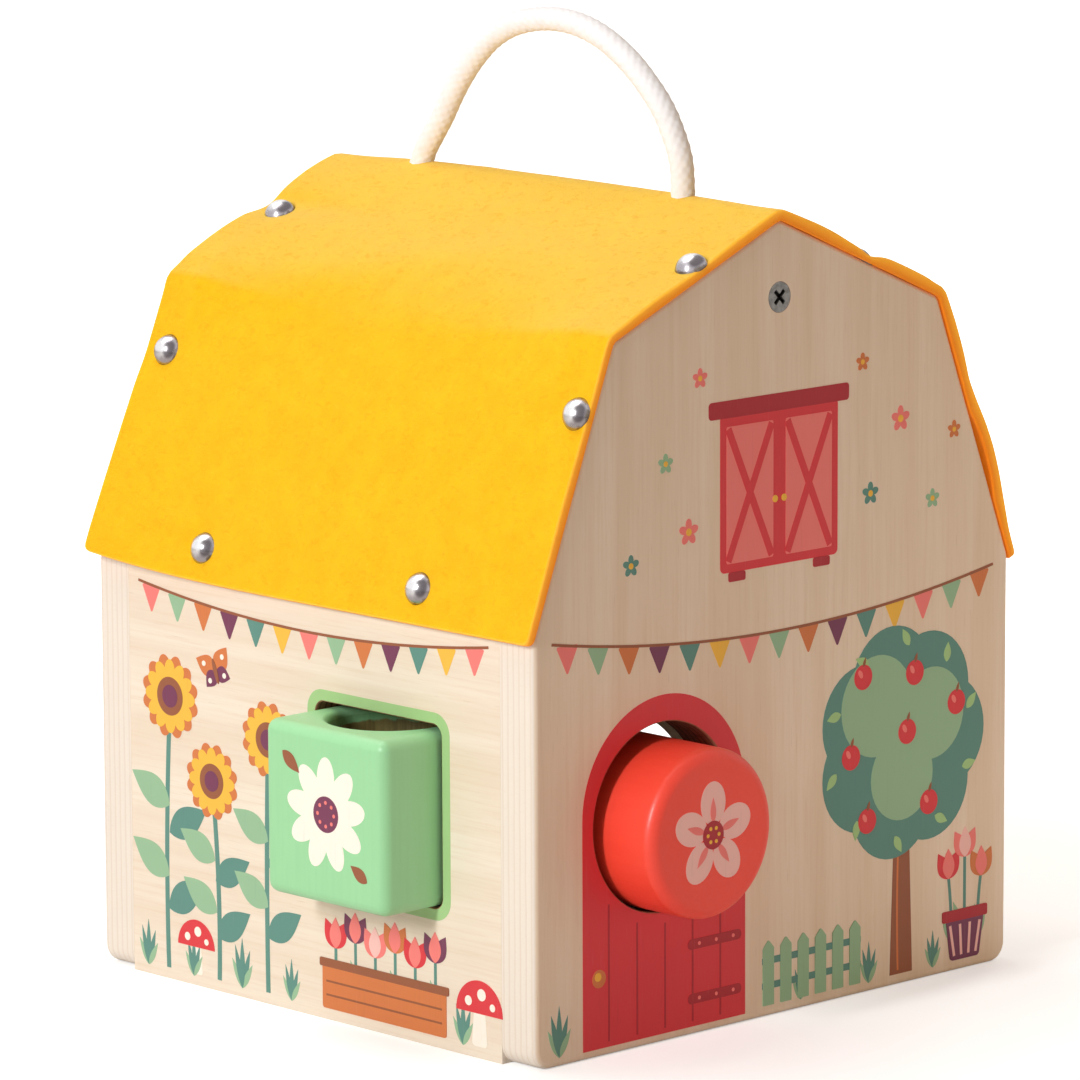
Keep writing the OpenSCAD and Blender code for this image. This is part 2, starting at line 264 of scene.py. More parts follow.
def prism(rings, low, high, edge_rs=None):
    """Points, faces and normals of a flat solid: an outer ring and its holes.

    A ring's edges are rounded by its radius, or its lower and upper edge by a pair of radii. Without
    radii the edges are sharp.
    """
    turns = np.linspace(0, pi / 2, EDGE_STEPS + 1) if edge_rs else np.array([pi / 2])
    points, faces, normals = [], [], []
    last = 2 * len(turns) - 1
    caps = {0: [], last: []}
    for index, ring in enumerate(rings):
        ring = wound(np.array(ring, float), index == 0)
        out, n, start = outward(ring), len(ring), len(points)
        low_r, high_r = np.broadcast_to(edge_rs[index] if edge_rs else 0.0, 2)
        levels = [(low, low_r, t, -1) for t in turns] + [(high, high_r, t, 1) for t in turns[::-1]]
        for level, (end, r, t, up) in enumerate(levels):
            height = end - up * r * (1 - cos(t))
            points += [(u, v, height) for u, v in ring + out * (r * (sin(t) - 1))]
            normals += [(sin(t) * a, sin(t) * b, cos(t) * up) for a, b in out]
            if level in caps:
                caps[level].append(range(start + level * n, start + (level + 1) * n))
        for level in range(last):
            faces += band(start + level * n, n)
    for level, cap_rings in caps.items():
        order = [i for ring in cap_rings for i in ring]
        flat = [[Vector((*points[i][:2], 0)) for i in ring] for ring in cap_rings]
        for triangle in tessellate_polygon(flat):
            corners = tuple(order[i] for i in triangle)
            (au, av), (bu, bv), (cu, cv) = (points[i][:2] for i in corners)
            upward = (bu - au) * (cv - av) > (bv - av) * (cu - au)
            faces.append(corners if upward == (level > 0) else corners[::-1])
    return points, faces, normals


def lathe(profile, steps):
    """Points and faces of a closed solid turned about h: its profile is [radius, h], axis to axis."""
    points, faces, rows = [], [], []
    for radius, height in profile:
        ring = circle((0, 0), radius, steps) if radius else [(0, 0)]
        rows.append([len(points) + i % len(ring) for i in range(steps)])
        points += [(u, v, height) for u, v in ring]
    for upper, lower in zip(rows, rows[1:]):
        for i in range(steps):
            j = (i + 1) % steps
            faces.append(tuple(dict.fromkeys((upper[i], lower[i], lower[j], upper[j]))))
    return points, faces


def tube(path, radius, sides):
    """Points and faces of a tube with closed ends. Its radius follows the run along it and the angle."""
    along = directions(path)
    side = np.cross(along[0], ASKEW)
    angles = 2 * pi * np.arange(sides) / sides
    points, faces = [], []
    for centre, tangent, run in zip(path, along, runs_of(path)):
        side = unit(side - tangent * (side @ tangent))
        other = np.cross(tangent, side)
        points += [centre + radius(run, a) * (cos(a) * side + sin(a) * other) for a in angles]
    for ring in range(len(path) - 1):
        faces += band(ring * sides, sides)
    n, top = len(points), (len(path) - 1) * sides
    for k in range(sides):
        j = (k + 1) % sides
        faces += [(n, j, k), (n + 1, top + k, top + j)]
    return points + [path[0], path[-1]], faces


def merged(parts):
    """Several lots of points and faces as one."""
    points, faces = [], []
    for part_points, part_faces in parts:
        start = len(points)
        points += list(part_points)
        faces += [tuple(i + start for i in face) for face in part_faces]
    return points, faces


def mesh_of(name, points, faces, normals=None, sharp_angle=None):
    """A mesh in metres. It is smooth by its own normals or up to an angle, and flat without either."""
    mesh = bpy.data.meshes.new(name)
    mesh.from_pydata([tuple(float(c) * MM for c in p) for p in points], [], faces)
    mesh.update()
    if normals is not None or sharp_angle is not None:
        mesh.polygons.foreach_set("use_smooth", [True] * len(mesh.polygons))
    if normals is not None:
        mesh.normals_split_custom_set_from_vertices([Vector(n).normalized() for n in normals])
    elif sharp_angle is not None:
        mesh.set_sharp_from_angle(angle=radians(sharp_angle))
    return mesh


def mark_points(mesh, **marks):
    """Gives a mesh's points the values that its material reads by name."""
    for name, values in marks.items():
        mesh.attributes.new(name, "FLOAT", "POINT").data.foreach_set("value", values)


def add_object(name, data):
    made = bpy.data.objects.new(name, data)
    bpy.context.scene.collection.objects.link(made)
    return made


def add_piece(name, mesh, material, body, place=None, stands_for=()):
    """Puts a mesh in the scene, on its body and in its material slot, in place of CAD nodes if any."""
    piece = add_object(name, mesh)
    if place is not None:
        piece.matrix_world = place
    mesh.materials.append(material)
    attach(piece, body)
    if stands_for:
        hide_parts(*stands_for)
    return piece


def matrix_of(axes, origin):
    """A matrix with three axes as its columns, at an origin in metres."""
    matrix = Matrix.Identity(4)
    for column, axis in enumerate(axes):
        matrix.col[column][:3] = axis
    matrix.translation = origin
    return matrix


def placed(origin, across, upward):
    """A face's place: u, v and h run across, upward and out of it, from an origin in millimetres."""
    across, upward = Vector(across), Vector(upward)
    return matrix_of((across, upward, across.cross(upward)), Vector([float(c) * MM for c in origin]))


PANELS = {
    "front": placed((0, front_low[1], 0), (1, 0, 0), UP),
    "back": placed((0, BACK_Y, 0), (-1, 0, 0), UP),
    "left": placed((left_low[0], 0, 0), (0, -1, 0), UP),
    "right": placed((RIGHT_X, 0, 0), (0, 1, 0), UP),
    "round_face": placed((round_axis[0], round_low[1], round_axis[2]), (1, 0, 0), UP),
    "square_face": placed((square_low[0], square_axis[1], square_axis[2]), (0, -1, 0), UP),
}


# Materials

def srgb(*values):
    """A colour from 0 to 255 on screen, as the linear colour that a shader takes."""
    shares = [value / 255 for value in values]
    return tuple(c / 12.92 if c <= 0.04045 else ((c + 0.055) / 1.055) ** 2.4 for c in shares) + (1.0,)


class Shade:
    """A shader under construction: nodes are added by type, with values or sockets for their inputs."""

    def __init__(self, name, kind="materials", surface="Principled BSDF"):
        self.block = getattr(bpy.data, kind).new(name)
        self.block.use_nodes = True
        self.tree = self.block.node_tree
        self.surface = self.tree.nodes[surface]
        self.places = {}

    def add(self, kind, inputs=None, **settings):
        node = self.tree.nodes.new(kind)
        for key, value in settings.items():
            setattr(node, key, value)
        self.fill(node, inputs or {})
        return node

    def fill(self, node, inputs):
        for key, value in inputs.items():
            if isinstance(value, bpy.types.NodeSocket):
                self.tree.links.new(value, node.inputs[key])
            else:
                node.inputs[key].default_value = value

    def coords(self, stretch=(1, 1, 1)):
        """Object coordinates in millimetres, stretched along each axis."""
        if stretch not in self.places:
            where = self.add("ShaderNodeTexCoord").outputs["Object"]
            wanted = {"Vector": where, "Scale": tuple(s / MM for s in stretch)}
            self.places[stretch] = self.add("ShaderNodeMapping", wanted).outputs["Vector"]
        return self.places[stretch]

    def part(self, vector, axis):
        return self.add("ShaderNodeSeparateXYZ", {"Vector": vector}).outputs[axis]

    def facing(self, axis):
        """How far the surface faces along an axis of the object."""
        return self.part(self.add("ShaderNodeTexCoord").outputs["Normal"], axis)

    def mark(self, name):
        """A value that the mesh's points carry."""
        return self.add("ShaderNodeAttribute", attribute_name=name).outputs["Fac"]

    def noise(self, scale, detail=3.0, roughness=0.55, distortion=0.0, stretch=(1, 1, 1)):
        wanted = {"Vector": self.coords(stretch), "Scale": scale, "Detail": detail, "Roughness": roughness,
                  "Distortion": distortion}
        return self.add("ShaderNodeTexNoise", wanted).outputs["Fac"]

    def math(self, operation, a, b=0.0):
        return self.add("ShaderNodeMath", {0: a, 1: b}, operation=operation).outputs[0]

    def spread(self, value, low, high, to_low=0.0, to_high=1.0):
        """A value's range from low to high, moved to another range and clamped."""
        wanted = {"Value": value, "From Min": low, "From Max": high, "To Min": to_low, "To Max": to_high}
        return self.add("ShaderNodeMapRange", wanted, interpolation_type="SMOOTHSTEP").outputs["Result"]

    def mix(self, amount, first, second):
        wanted = {0: amount, 6: first, 7: second}
        return self.add("ShaderNodeMix", wanted, data_type="RGBA").outputs[2]

    def tinted(self, colour, value, low, high, other, share=1.0):
        """A colour that goes over to another, up to a share, as a value goes from low to high."""
        return self.mix(self.spread(value, low, high, 0.0, share), colour, other)

    def bump(self, height, strength, distance):
        """A bump from a height of 0 to 1, distance millimetres deep."""
        wanted = {"Height": height, "Strength": strength, "Distance": distance * MM}
        self.fill(self.surface, {"Normal": self.add("ShaderNodeBump", wanted).outputs["Normal"]})

    def done(self, **inputs):
        self.fill(self.surface, {key.replace("_", " "): value for key, value in inputs.items()})
        return self.block


PLY_T = 1.0
# How deep the paint reaches into the bore, where it ends raggedly
PAINT_DEPTH = (3.3, 4.1)


def ply_layer(s):
    """Where a point is in the plywood's wavering layers: up from one joint to the next and back."""
    waver = s.math("MULTIPLY", s.noise(1.0, stretch=(0.08, 0.08, 0.4)), 0.5)
    return s.math("PINGPONG", s.math("ADD", s.part(s.coords(), "Z"), waver), PLY_T)


def plywood(name, grain, light, dark):
    """Lacquered birch plywood: streaks along the grain on its faces, and layers on sawn edges."""
    s = Shade(name)
    broad = s.noise(0.11, detail=2.0, distortion=0.4, stretch=grain)
    fine = s.noise(0.9, detail=4.0, roughness=0.65, stretch=grain)
    flecks = s.noise(2.6, detail=2.0, stretch=grain)
    face = s.tinted(light, broad, 0.3, 0.7, dark)
    face = s.tinted(face, fine, 0.42, 0.75, srgb(224, 195, 164), 0.35)
    face = s.tinted(face, flecks, 0.66, 0.76, srgb(192, 156, 122), 0.3)
    layer = ply_layer(s)
    ends = s.noise(1.6, detail=4.0, roughness=0.7, stretch=(1, 1, 0.5))
    edge = s.tinted(srgb(239, 227, 214), layer, 0.6, 0.9, srgb(232, 217, 201))
    edge = s.tinted(edge, ends, 0.5, 0.75, srgb(226, 208, 188), 0.3)
    sawn = s.spread(s.math("ABSOLUTE", s.facing("Z")), 0.85, 0.55)
    s.bump(s.mix(sawn, fine, s.math("ADD", layer, ends)), 0.35, 0.08)
    return s.done(Base_Color=s.mix(sawn, face, edge), Roughness=s.spread(fine, 0.3, 0.8, 0.42, 0.6))


def shaded_hole_wood():
    """The plywood's layers in the wall of a cut hole, painted dark brown for the shade inside the house."""
    s = Shade("shaded_hole_wood")
    dark_blotches = s.noise(0.7, stretch=(1, 1, 0.4))
    # Painted shade: the hole walls are a darker brown than the pale sawn outer edges
    colour = s.tinted(srgb(150, 104, 76), ply_layer(s), 0.55, 0.9, srgb(112, 72, 52))
    colour = s.tinted(colour, dark_blotches, 0.45, 0.75, srgb(80, 48, 34), 0.6)
    s.bump(dark_blotches, 0.3, 0.08)
    return s.done(Base_Color=colour, Roughness=s.spread(dark_blotches, 0.3, 0.8, 0.6, 0.75))


def plain_wood(name, light, dark, grain):
    """Solid wood with its grain along one axis of the object."""
    s = Shade(name)
    rings = s.noise(0.35, distortion=0.8, stretch=grain)
    fine = s.noise(1.6, detail=4.0, roughness=0.65, stretch=grain)
    colour = s.tinted(light, rings, 0.35, 0.65, dark)
    colour = s.tinted(colour, fine, 0.5, 0.75, dark, 0.4)
    s.bump(fine, 0.4, 0.1)
    return s.done(Base_Color=colour, Roughness=s.spread(fine, 0.3, 0.8, 0.5, 0.7))


def felt_cloth():
    """Pressed wool felt: matted fibres, slow mottling, a painted highlight where it faces up, painted glow
    and shade on the cut edges.
    """
    s = Shade("felt_cloth")
    tufts = s.noise(0.62, detail=5.0, roughness=0.7, distortion=0.8, stretch=(1.0, 0.6, 1.0))
    fibres = s.noise(1.5, detail=4.0, roughness=0.7, distortion=1.4, stretch=(1.0, 0.45, 1.0))
    colour = s.tinted(srgb(251, 183, 8), s.noise(0.14), 0.3, 0.7, srgb(253, 190, 15))
    # Painted highlight: paler where the felt faces up, for the light from above and the sheen there
    colour = s.tinted(colour, s.facing("Z"), 0.62, 0.95, srgb(255, 218, 104), 0.47)
    colour = s.tinted(colour, tufts, 0.5, 0.7, srgb(237, 161, 3), 0.5)
    colour = s.tinted(colour, fibres, 0.52, 0.7, srgb(255, 204, 48), 0.42)
    # Painted shade and painted glow on the cut edges and the underside near them: the colour darkens from
    # the outer side to the underside, and emission makes them glow as if lit through the felt
    depth = s.mark("cut_depth")
    glow_mask = s.spread(s.mark("cut_edge"), 0.4, 0.9)
    colour = s.mix(glow_mask, colour, s.mix(depth, srgb(255, 192, 62), srgb(222, 116, 18)))
    s.bump(s.math("ADD", s.math("MULTIPLY", tufts, 0.9), fibres), 0.55, 0.35)
    return s.done(Base_Color=colour, Roughness=0.95, Sheen_Weight=0.3, Sheen_Roughness=0.45,
                  Sheen_Tint=srgb(255, 232, 180), Specular_IOR_Level=0.2, Subsurface_Weight=0.3,
                  Subsurface_Radius=(1.0, 0.55, 0.1), Subsurface_Scale=FELT_T * MM,
                  Emission_Color=s.mix(depth, srgb(255, 165, 45), srgb(255, 143, 22)),
                  Emission_Strength=s.math("MULTIPLY", glow_mask, s.spread(depth, 0.0, 1.0, 0.3, 0.23)))


def cotton_rope():
    """Soft off-white cotton yarn."""
    s = Shade("cotton_rope")
    yarn = s.noise(2.2, detail=5.0, roughness=0.7, distortion=0.8)
    colour = s.tinted(srgb(249, 249, 251), s.noise(0.3, detail=2.0), 0.3, 0.7, srgb(247, 245, 247))
    colour = s.tinted(colour, yarn, 0.5, 0.8, srgb(230, 222, 214), 0.4)
    s.bump(yarn, 0.45, 0.2)
    return s.done(Base_Color=colour, Roughness=0.95, Sheen_Weight=0.25, Sheen_Roughness=0.5,
                  Specular_IOR_Level=0.15)


def nail_chrome():
    """Polished chrome with painted reflections: darker towards each dome's rim, with a dark crescent."""
    s = Shade("nail_chrome")
    smudge = s.noise(0.6, detail=2.0)
    rim = s.math("ADD", s.mark("rim"), s.spread(smudge, 0.3, 0.7, -0.06, 0.06))
    # Painted reflection: bright in the middle of each dome, darker towards its rim and darkest at the very
    # rim
    tone = s.tinted(srgb(240, 238, 238), rim, 0.3, 0.8, srgb(178, 172, 176))
    tone = s.tinted(tone, rim, 0.9, 1.02, srgb(120, 108, 96))
    # Painted reflection: a dark crescent on the front of each dome
    tone = s.tinted(tone, s.mark("stain"), 0.1, 0.9, srgb(82, 74, 78), 0.8)
    return s.done(Base_Color=tone, Metallic=1.0, Roughness=s.spread(smudge, 0.3, 0.75, 0.2, 0.3))


def screw_steel():
    """Plated steel, with painted shade in its recess below the head's rim."""
    s = Shade("screw_steel")
    hairs = s.noise(3.0, detail=4.0, roughness=0.7, stretch=(1.0, 0.2, 1.0))
    smudge = s.noise(0.8, detail=2.0)
    tone = s.tinted(srgb(170, 169, 166), smudge, 0.3, 0.7, srgb(136, 134, 130))
    # Painted shade: dark and less metallic wherever the surface lies deeper than the head's rim
    sunk = s.math("SUBTRACT", -front_low[1], s.math("ABSOLUTE", s.part(s.coords(), "Y")))
    dark = s.spread(sunk, 0.2, 0.7)
    s.bump(hairs, 0.3, 0.02)
    return s.done(Base_Color=s.mix(dark, tone, srgb(34, 32, 30)),
                  Metallic=s.spread(dark, 0.2, 0.8, 1.0, 0.1),
                  Roughness=s.spread(smudge, 0.3, 0.75, 0.3, 0.45))


def satin_paint(name, colour, shadow):
    """Sprayed satin paint on sanded wood: faint grain shows through, with a light orange-peel skin."""
    s = Shade(name)
    grain = s.noise(0.8, stretch=(1, 1, 0.06))
    peel = s.noise(1.4, detail=2.0)
    s.bump(s.math("ADD", s.math("MULTIPLY", grain, 0.25), peel), 0.1, 0.08)
    return s.done(Base_Color=s.tinted(colour, grain, 0.35, 0.75, shadow, 0.2),
                  Roughness=s.spread(peel, 0.3, 0.7, 0.36, 0.48), Coat_Weight=0.15, Coat_Roughness=0.25)


def bore_paint():
    """Green paint on the rim of the block's bore, over bare wood further down, both painted darker for the
    shade in the bore.
    """
    s = Shade("bore_paint")
    grain = s.noise(0.9, detail=4.0, stretch=(1, 1, 0.06))
    level = s.part(s.coords(), "Z")
    deep = s.math("MINIMUM", level, s.math("SUBTRACT", SQUARE_SIDE, level))
    ragged = s.math("ADD", deep, s.spread(s.noise(0.3), 0.3, 0.7, -0.4, 0.4))
    # Painted shade: the bare wood is darkened and turned olive for the shade and green bounce light in the
    # bore
    wood = s.tinted(srgb(132, 118, 68), grain, 0.35, 0.7, srgb(108, 94, 52))
    # Painted shade: a darker copy of the block's green paint
    paint = s.tinted(srgb(142, 202, 146), grain, 0.35, 0.75, srgb(122, 184, 126), 0.5)
    s.bump(grain, 0.3, 0.1)
    return s.done(Base_Color=s.tinted(paint, ragged, *PAINT_DEPTH, wood),
                  Roughness=s.spread(ragged, *PAINT_DEPTH, 0.4, 0.65))


def print_ink(name, colour):
    """Printed colour on wood: the grain shows faintly through it."""
    s = Shade("ink_" + name)
    grain = s.noise(1.1, detail=4.0, roughness=0.65, stretch=(1, 0.05, 1))
    pale = tuple(min(1.0, 0.86 * c + 0.1) for c in colour[:3]) + (1.0,)
    deep = tuple(0.86 * c for c in colour[:3]) + (1.0,)
    tone = s.tinted(colour, grain, 0.55, 0.85, pale, 0.5)
    tone = s.tinted(tone, grain, 0.45, 0.2, deep, 0.6)
    s.bump(grain, 0.25, 0.06)
    return s.done(Base_Color=tone, Roughness=s.spread(grain, 0.3, 0.8, 0.45, 0.6))


PLY_UPRIGHT = plywood("plywood_upright", (1, 0.035, 1), srgb(243, 224, 202), srgb(235, 212, 186))
PLY_LEVEL = plywood("plywood_level", (0.035, 1, 1), srgb(243, 229, 211), srgb(235, 217, 195))
PINE = plain_wood("pine", srgb(236, 206, 160), srgb(214, 172, 118), (1, 0.03, 1))
BEECH = plain_wood("beech", srgb(226, 190, 150), srgb(203, 160, 118), (1, 0.05, 1))
SHADED_HOLE_WOOD = shaded_hole_wood()
BORE = bore_paint()
FELT = felt_cloth()
COTTON = cotton_rope()
CHROME = nail_chrome()
STEEL = screw_steel()
RED_PAINT = satin_paint("red_paint", srgb(253, 74, 54), srgb(242, 62, 44))
GREEN_PAINT = satin_paint("green_paint", srgb(157, 218, 162), srgb(145, 206, 149))


# Camera, at the photograph's place: its angles are azimuth, elevation and roll in degrees

CAMERA_AT = Vector((-1.18817, -1.24444, 0.41403))
CAMERA_ANGLES = (-43.561, 9.958, -0.275)
CAMERA_LENS = 224.418
SENSOR = 36.0
CLIP_END = 50


def add_camera():
    turn, tilt, roll = (radians(angle) for angle in CAMERA_ANGLES)
    level = Vector((cos(turn), sin(turn), 0))
    back = Vector((sin(turn) * cos(tilt), -cos(turn) * cos(tilt), sin(tilt)))
    upright = back.cross(level)
    right = level * cos(roll) + upright * sin(roll)
    up = upright * cos(roll) - level * sin(roll)
    data = bpy.data.cameras.new("photo_camera")
    data.sensor_width = SENSOR
    data.lens = CAMERA_LENS
    data.clip_end = CLIP_END
    camera = add_object("photo_camera", data)
    camera.matrix_world = matrix_of((right, up, back), CAMERA_AT)
    bpy.context.scene.camera = camera


# Rope handle

BRAID_STRANDS = 8
BRAID_PITCH = 11.0
BRAID_RELIEF = 0.14
BRAID_SWELL = 1.4
BRAID_POWER = 0.7
# How uneven the rope is, in waves to a millimetre from a place in the noise
BRAID_UNEVEN = 0.05
UNEVEN_RATE = 0.12
UNEVEN_AT = 3.7
ROPE_STEP = 0.3
ROPE_SIDES = 48
ROPE_SHARP = 80
CURVE_STEPS = 24
# How far below and above its hinge line the loop bends
KNOT_COIL_R = 4.4
KNOT_TURNS = 2
KNOT_STEPS = 40
KNOT_Z = 164.5
TAIL_Z = (205.0, 195, 185, 176, KNOT_Z - 10)
ROPE_Y = 47.8


def braid(s, angle):
    """The rope's radius: two families of strands cross over and under each other."""
    around, along = BRAID_STRANDS / 2 * angle, 2 * pi * s / BRAID_PITCH * BRAID_STRANDS / 4
    weave = abs(cos(around + along)) ** BRAID_POWER * abs(cos(around - along)) ** BRAID_POWER
    loose = BRAID_UNEVEN * noise.noise(Vector((s * UNEVEN_RATE, UNEVEN_AT, 0)))
    return ROPE_R - BRAID_RELIEF + BRAID_RELIEF * BRAID_SWELL * weave + loose


def smooth_path(points, step):
    """Points along a Catmull-Rom curve through the given ones, a step apart, and the curve's length."""
    points = np.array(points, float)
    ends = np.concatenate([[2 * points[0] - points[1]], points, [2 * points[-1] - points[-2]]])
    fine = []
    for a, b, c, d in zip(ends, ends[1:], ends[2:], ends[3:]):
        for t in np.linspace(0, 1, CURVE_STEPS, endpoint=False):
            fine.append(0.5 * (2 * b + (c - a) * t + (2 * a - 5 * b + 4 * c - d) * t ** 2
                               + (3 * b - a - 3 * c + d) * t ** 3))
    fine = np.array(fine + [points[-1]])
    run = runs_of(fine)
    return at_runs(np.linspace(0, run[-1], int(run[-1] / step) + 1), run, fine), run[-1]


def add_rope():
    """The free loop, and each end with a stopper knot under the beam."""
    route = [(0.0, y, ROPE_AXIS_Z + rise) for y, rise in ROPE_ROUTE]
    path, length = smooth_path(route, ROPE_STEP)
    mesh = mesh_of("rope_loop", *tube(path, braid, ROPE_SIDES), sharp_angle=ROPE_SHARP)
    loop = add_object("rope_loop", mesh)
    mesh.materials.append(COTTON)
    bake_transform(loop)
    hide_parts("handle_rope")
    for end, side in (("front", -1), ("back", 1)):
        tail = [(0, side * ROPE_Y, z) for z in TAIL_Z]
        coil_low = KNOT_Z - KNOT_TURNS * ROPE_R
        coil = [(KNOT_COIL_R * cos(t), side * ROPE_Y + KNOT_COIL_R * sin(t), coil_low + t / pi * ROPE_R)
                for t in np.linspace(0, 2 * pi * KNOT_TURNS, KNOT_STEPS)]
        parts = [tube(smooth_path(line, 2 * ROPE_STEP)[0], braid, ROPE_SIDES) for line in (tail, coil)]
        mesh = mesh_of("rope_tail_" + end, *merged(parts), sharp_angle=ROPE_SHARP)
        add_piece("rope_tail_" + end, mesh, COTTON, "house", stands_for=["rope_end_" + end])


# Plywood shell

def add_panel(side, name, node, rings, thick, edge_rs, wood):
    """A panel. The walls of its holes, whose faces follow those of its outer edge, have their own wood,
    painted darker for the shade inside the house.
    """
    mesh = mesh_of(name, *prism(rings, -thick, 0, edge_rs))
    add_piece(name, mesh, wood, "house", PANELS[side], [node])
    mesh.materials.append(SHADED_HOLE_WOOD)
    levels = 2 * EDGE_STEPS + 1
    for face in mesh.polygons[levels * len(rings[0]):levels * sum(len(ring) for ring in rings)]:
        face.material_index = 1


def add_panels():
    edge_rs = [(SEAM_EDGE_R, PANEL_EDGE_R), HOLE_EDGE_R, SCREW_EDGE_R]
    holes = {"front": circle(ROUND_HOLE, ROUND_HOLE_R),
             "back": doorway(DOOR_HALF_W, DOOR_SILL, DOOR_SPRING)}
    for side, hole in holes.items():
        rings = [gable(), hole, circle(SCREW_AT, SCREW_R, SCREW_SIDES)]
        add_panel(side, side + "_gable", side + "_panel", rings, GABLE_T, edge_rs, PLY_UPRIGHT)
    edge_rs = [WALL_EDGE_R, HOLE_EDGE_R]
    holes = {"left": square(SQUARE_HOLE_AT, SQUARE_HOLE, SQUARE_HOLE_R), "right": circle(PEEP_AT, PEEP_R)}
    for side, hole in holes.items():
        rings = [rectangle((-WALL_HALF, 0), (WALL_HALF, EAVE[1] - FELT_GAP), WALL_EDGE_R), hole]
        add_panel(side, side + "_board", side + "_wall", rings, WALL_T, edge_rs, PLY_LEVEL)
        top = mesh_of(side + "_board_top", *wall_top(), sharp_angle=30)
        add_piece(side + "_board_top", top, PLY_LEVEL, "house", PANELS[side])


def wall_top():
    """The upper end of a side wall, behind the felt, cut to the roof's slope."""
    wall_z = left_high[2]
    lean = (EAVE - KNEE)[0] / (KNEE - EAVE)[1]
    inset = 2 * WALL_EDGE_R
    section = [(-WALL_T, EAVE[1] - inset), (-inset, EAVE[1] - inset), (-inset, EAVE[1]),
               ((EAVE[1] - wall_z) * lean, wall_z), (-WALL_T, wall_z)]
    points = [(u, v, h) for u in (-WALL_HALF, WALL_HALF) for h, v in section]
    n = len(section)
    faces = [tuple(range(n)), tuple(range(2 * n - 1, n - 1, -1))]
    faces += [(i, i + n, (i + 1) % n + n, (i + 1) % n) for i in range(n)]
    return points, faces


# Felt roof

FELT_STEP = 1.1
FELT_CORNER_R = 2.0
FELT_EDGE_R = 0.6
SLACK_KNEE_R = 80.0
EASE_STEPS = 16
LINE_SAMPLES = 1200
# The thickness of the felt where it is nailed down along the gables and eaves, and at its thinnest
NAILED_T = 2.1
LEAST_T = 0.5
# The cut edges over the gables fray, and stand thicker where there is room
FRAYED_T = 3.3
FRAY_REACH = 5.0
# How far the cut edges lap over the rounded edges of the gables, where they lie on them
EDGE_LAP = 0.55
LAP_REACH = 1.1
LAP_LIFT = 0.5
# How far in from the cut edges the underside carries the painted glow, for light coming through, and the
# painted shade
GLOW_REACH = 4.0
EDGE_REACH = 14.0
EAVE_REACH = 9.0
# The height of a dome's foot over the wood, and how far round it the felt is pressed down, for a nail
# that is driven as most are and for the deeper ones on the right: upper, lower
NAIL_SEAT = FELT_GAP + NAILED_T
PRESS_REACH = 5.2
DEEP_SEATS = [0.3, 0.9]
DEEP_REACH = 2.6
# How much further in from the felt's front and back edges the deeper nails sit
DEEP_INWARDS = 0.8
# How high its outside stands over the wood along each end: [run down from the ridge, height]
EDGE_RISE = {
    "left_front": [(0, 2.7), (14, 2.7), (29, 2.2), (46, 2.8), (61, 2.3), (66, 2.3), (82, 2.2), (105, 2.8),
                   (125, 2.6), (141, 2.4)],
    "left_back": [(0, 3.4), (4, 3.9), (10, 4.2), (16, 3.9), (20, 3.4), (24, 2.2), (27, 2.0), (30, 2.8),
                  (34, 4.0), (42, 4.4), (48, 4.3), (56, 3.8), (61, 2.7), (66, 2.25), (76, 2.4), (84, 2.65),
                  (92, 3.5), (104, 4.2), (118, 4.9), (132, 5.5), (141, 5.5)],
    "right_front": [(0, 2.7), (6, 3.0), (14, 3.3), (20, 3.2), (26, 2.7), (31, 2.3), (34, 1.6), (36, 1.7),
                    (38, 2.6), (42, 3.2), (50, 3.3), (57, 3.2), (61, 2.6), (67, 3.0), (72, 3.3), (80, 3.3),
                    (88, 2.7), (93, 3.0), (102, 4.3), (109, 4.7), (116, 4.3), (124, 3.3), (132, 2.3),
                    (141, 2.1)],
    "right_back": [(0, 3.4), (12, 3.8), (24, 3.0), (34, 1.6), (37, 1.7), (46, 3.7), (56, 3.3), (62, 2.3),
                   (74, 2.7), (88, 2.2), (104, 3.8), (120, 4.2), (141, 4.0)],
}
EDGE_FORM_REACH = {"left_front": 14.0, "left_back": 30.0, "right_front": 18.0, "right_back": 24.0}
# These tables are sampled at a step, and smoothed over so many samples to each side
TABLE_END = 145
TABLE_STEP = 0.5
SMOOTH_REACH = 8
SMOOTH_WIDTH = 4
# How far the slack ridge stands up, front to back: [y, rise]
RIDGE_RISE = [(-82, 0.4), (-60, 0.2), (-36, 0.5), (0, 1.1), (60, 1.3), (82, 1.2)]
RIDGE_REACH = 16.0
# A soft fold from the back knee up to the middle of the left slope: its ends as [run, y]
FOLD_ENDS = np.array([(-60.0, 64.0), (-36.0, -20.0)])
FOLD_RISE = 1.1
FOLD_WIDTH = 9.0
FOLD_FADE = 0.6
# How far the eaves are lifted at the back, and how steeply that comes in towards the back and the eaves
EAVE_LIFT_BACK = 2.5
LIFT_BACK_POWER = 3
LIFT_EAVE_POWER = 7
SLACK_POWER = 3
LUMPS = 0.22
# Two sizes of lumps: waves to a millimetre, place in the noise and share
LUMP_WAVES = [(0.045, 5.3, 1.0), (0.1, 1.1, 0.5)]


def smoothed(table):
    """Runs and heights of a table, sampled and smoothed."""
    runs = np.arange(0, TABLE_END, TABLE_STEP)
    heights = np.pad(np.interp(runs, *np.array(table).T), SMOOTH_REACH, mode="edge")
    kernel = np.exp(-(np.arange(-SMOOTH_REACH, SMOOTH_REACH + 1) / SMOOTH_WIDTH) ** 2)
    return runs, np.convolve(heights, kernel / kernel.sum(), "valid")


EDGE_LINES = {corner: smoothed(table) for corner, table in EDGE_RISE.items()}


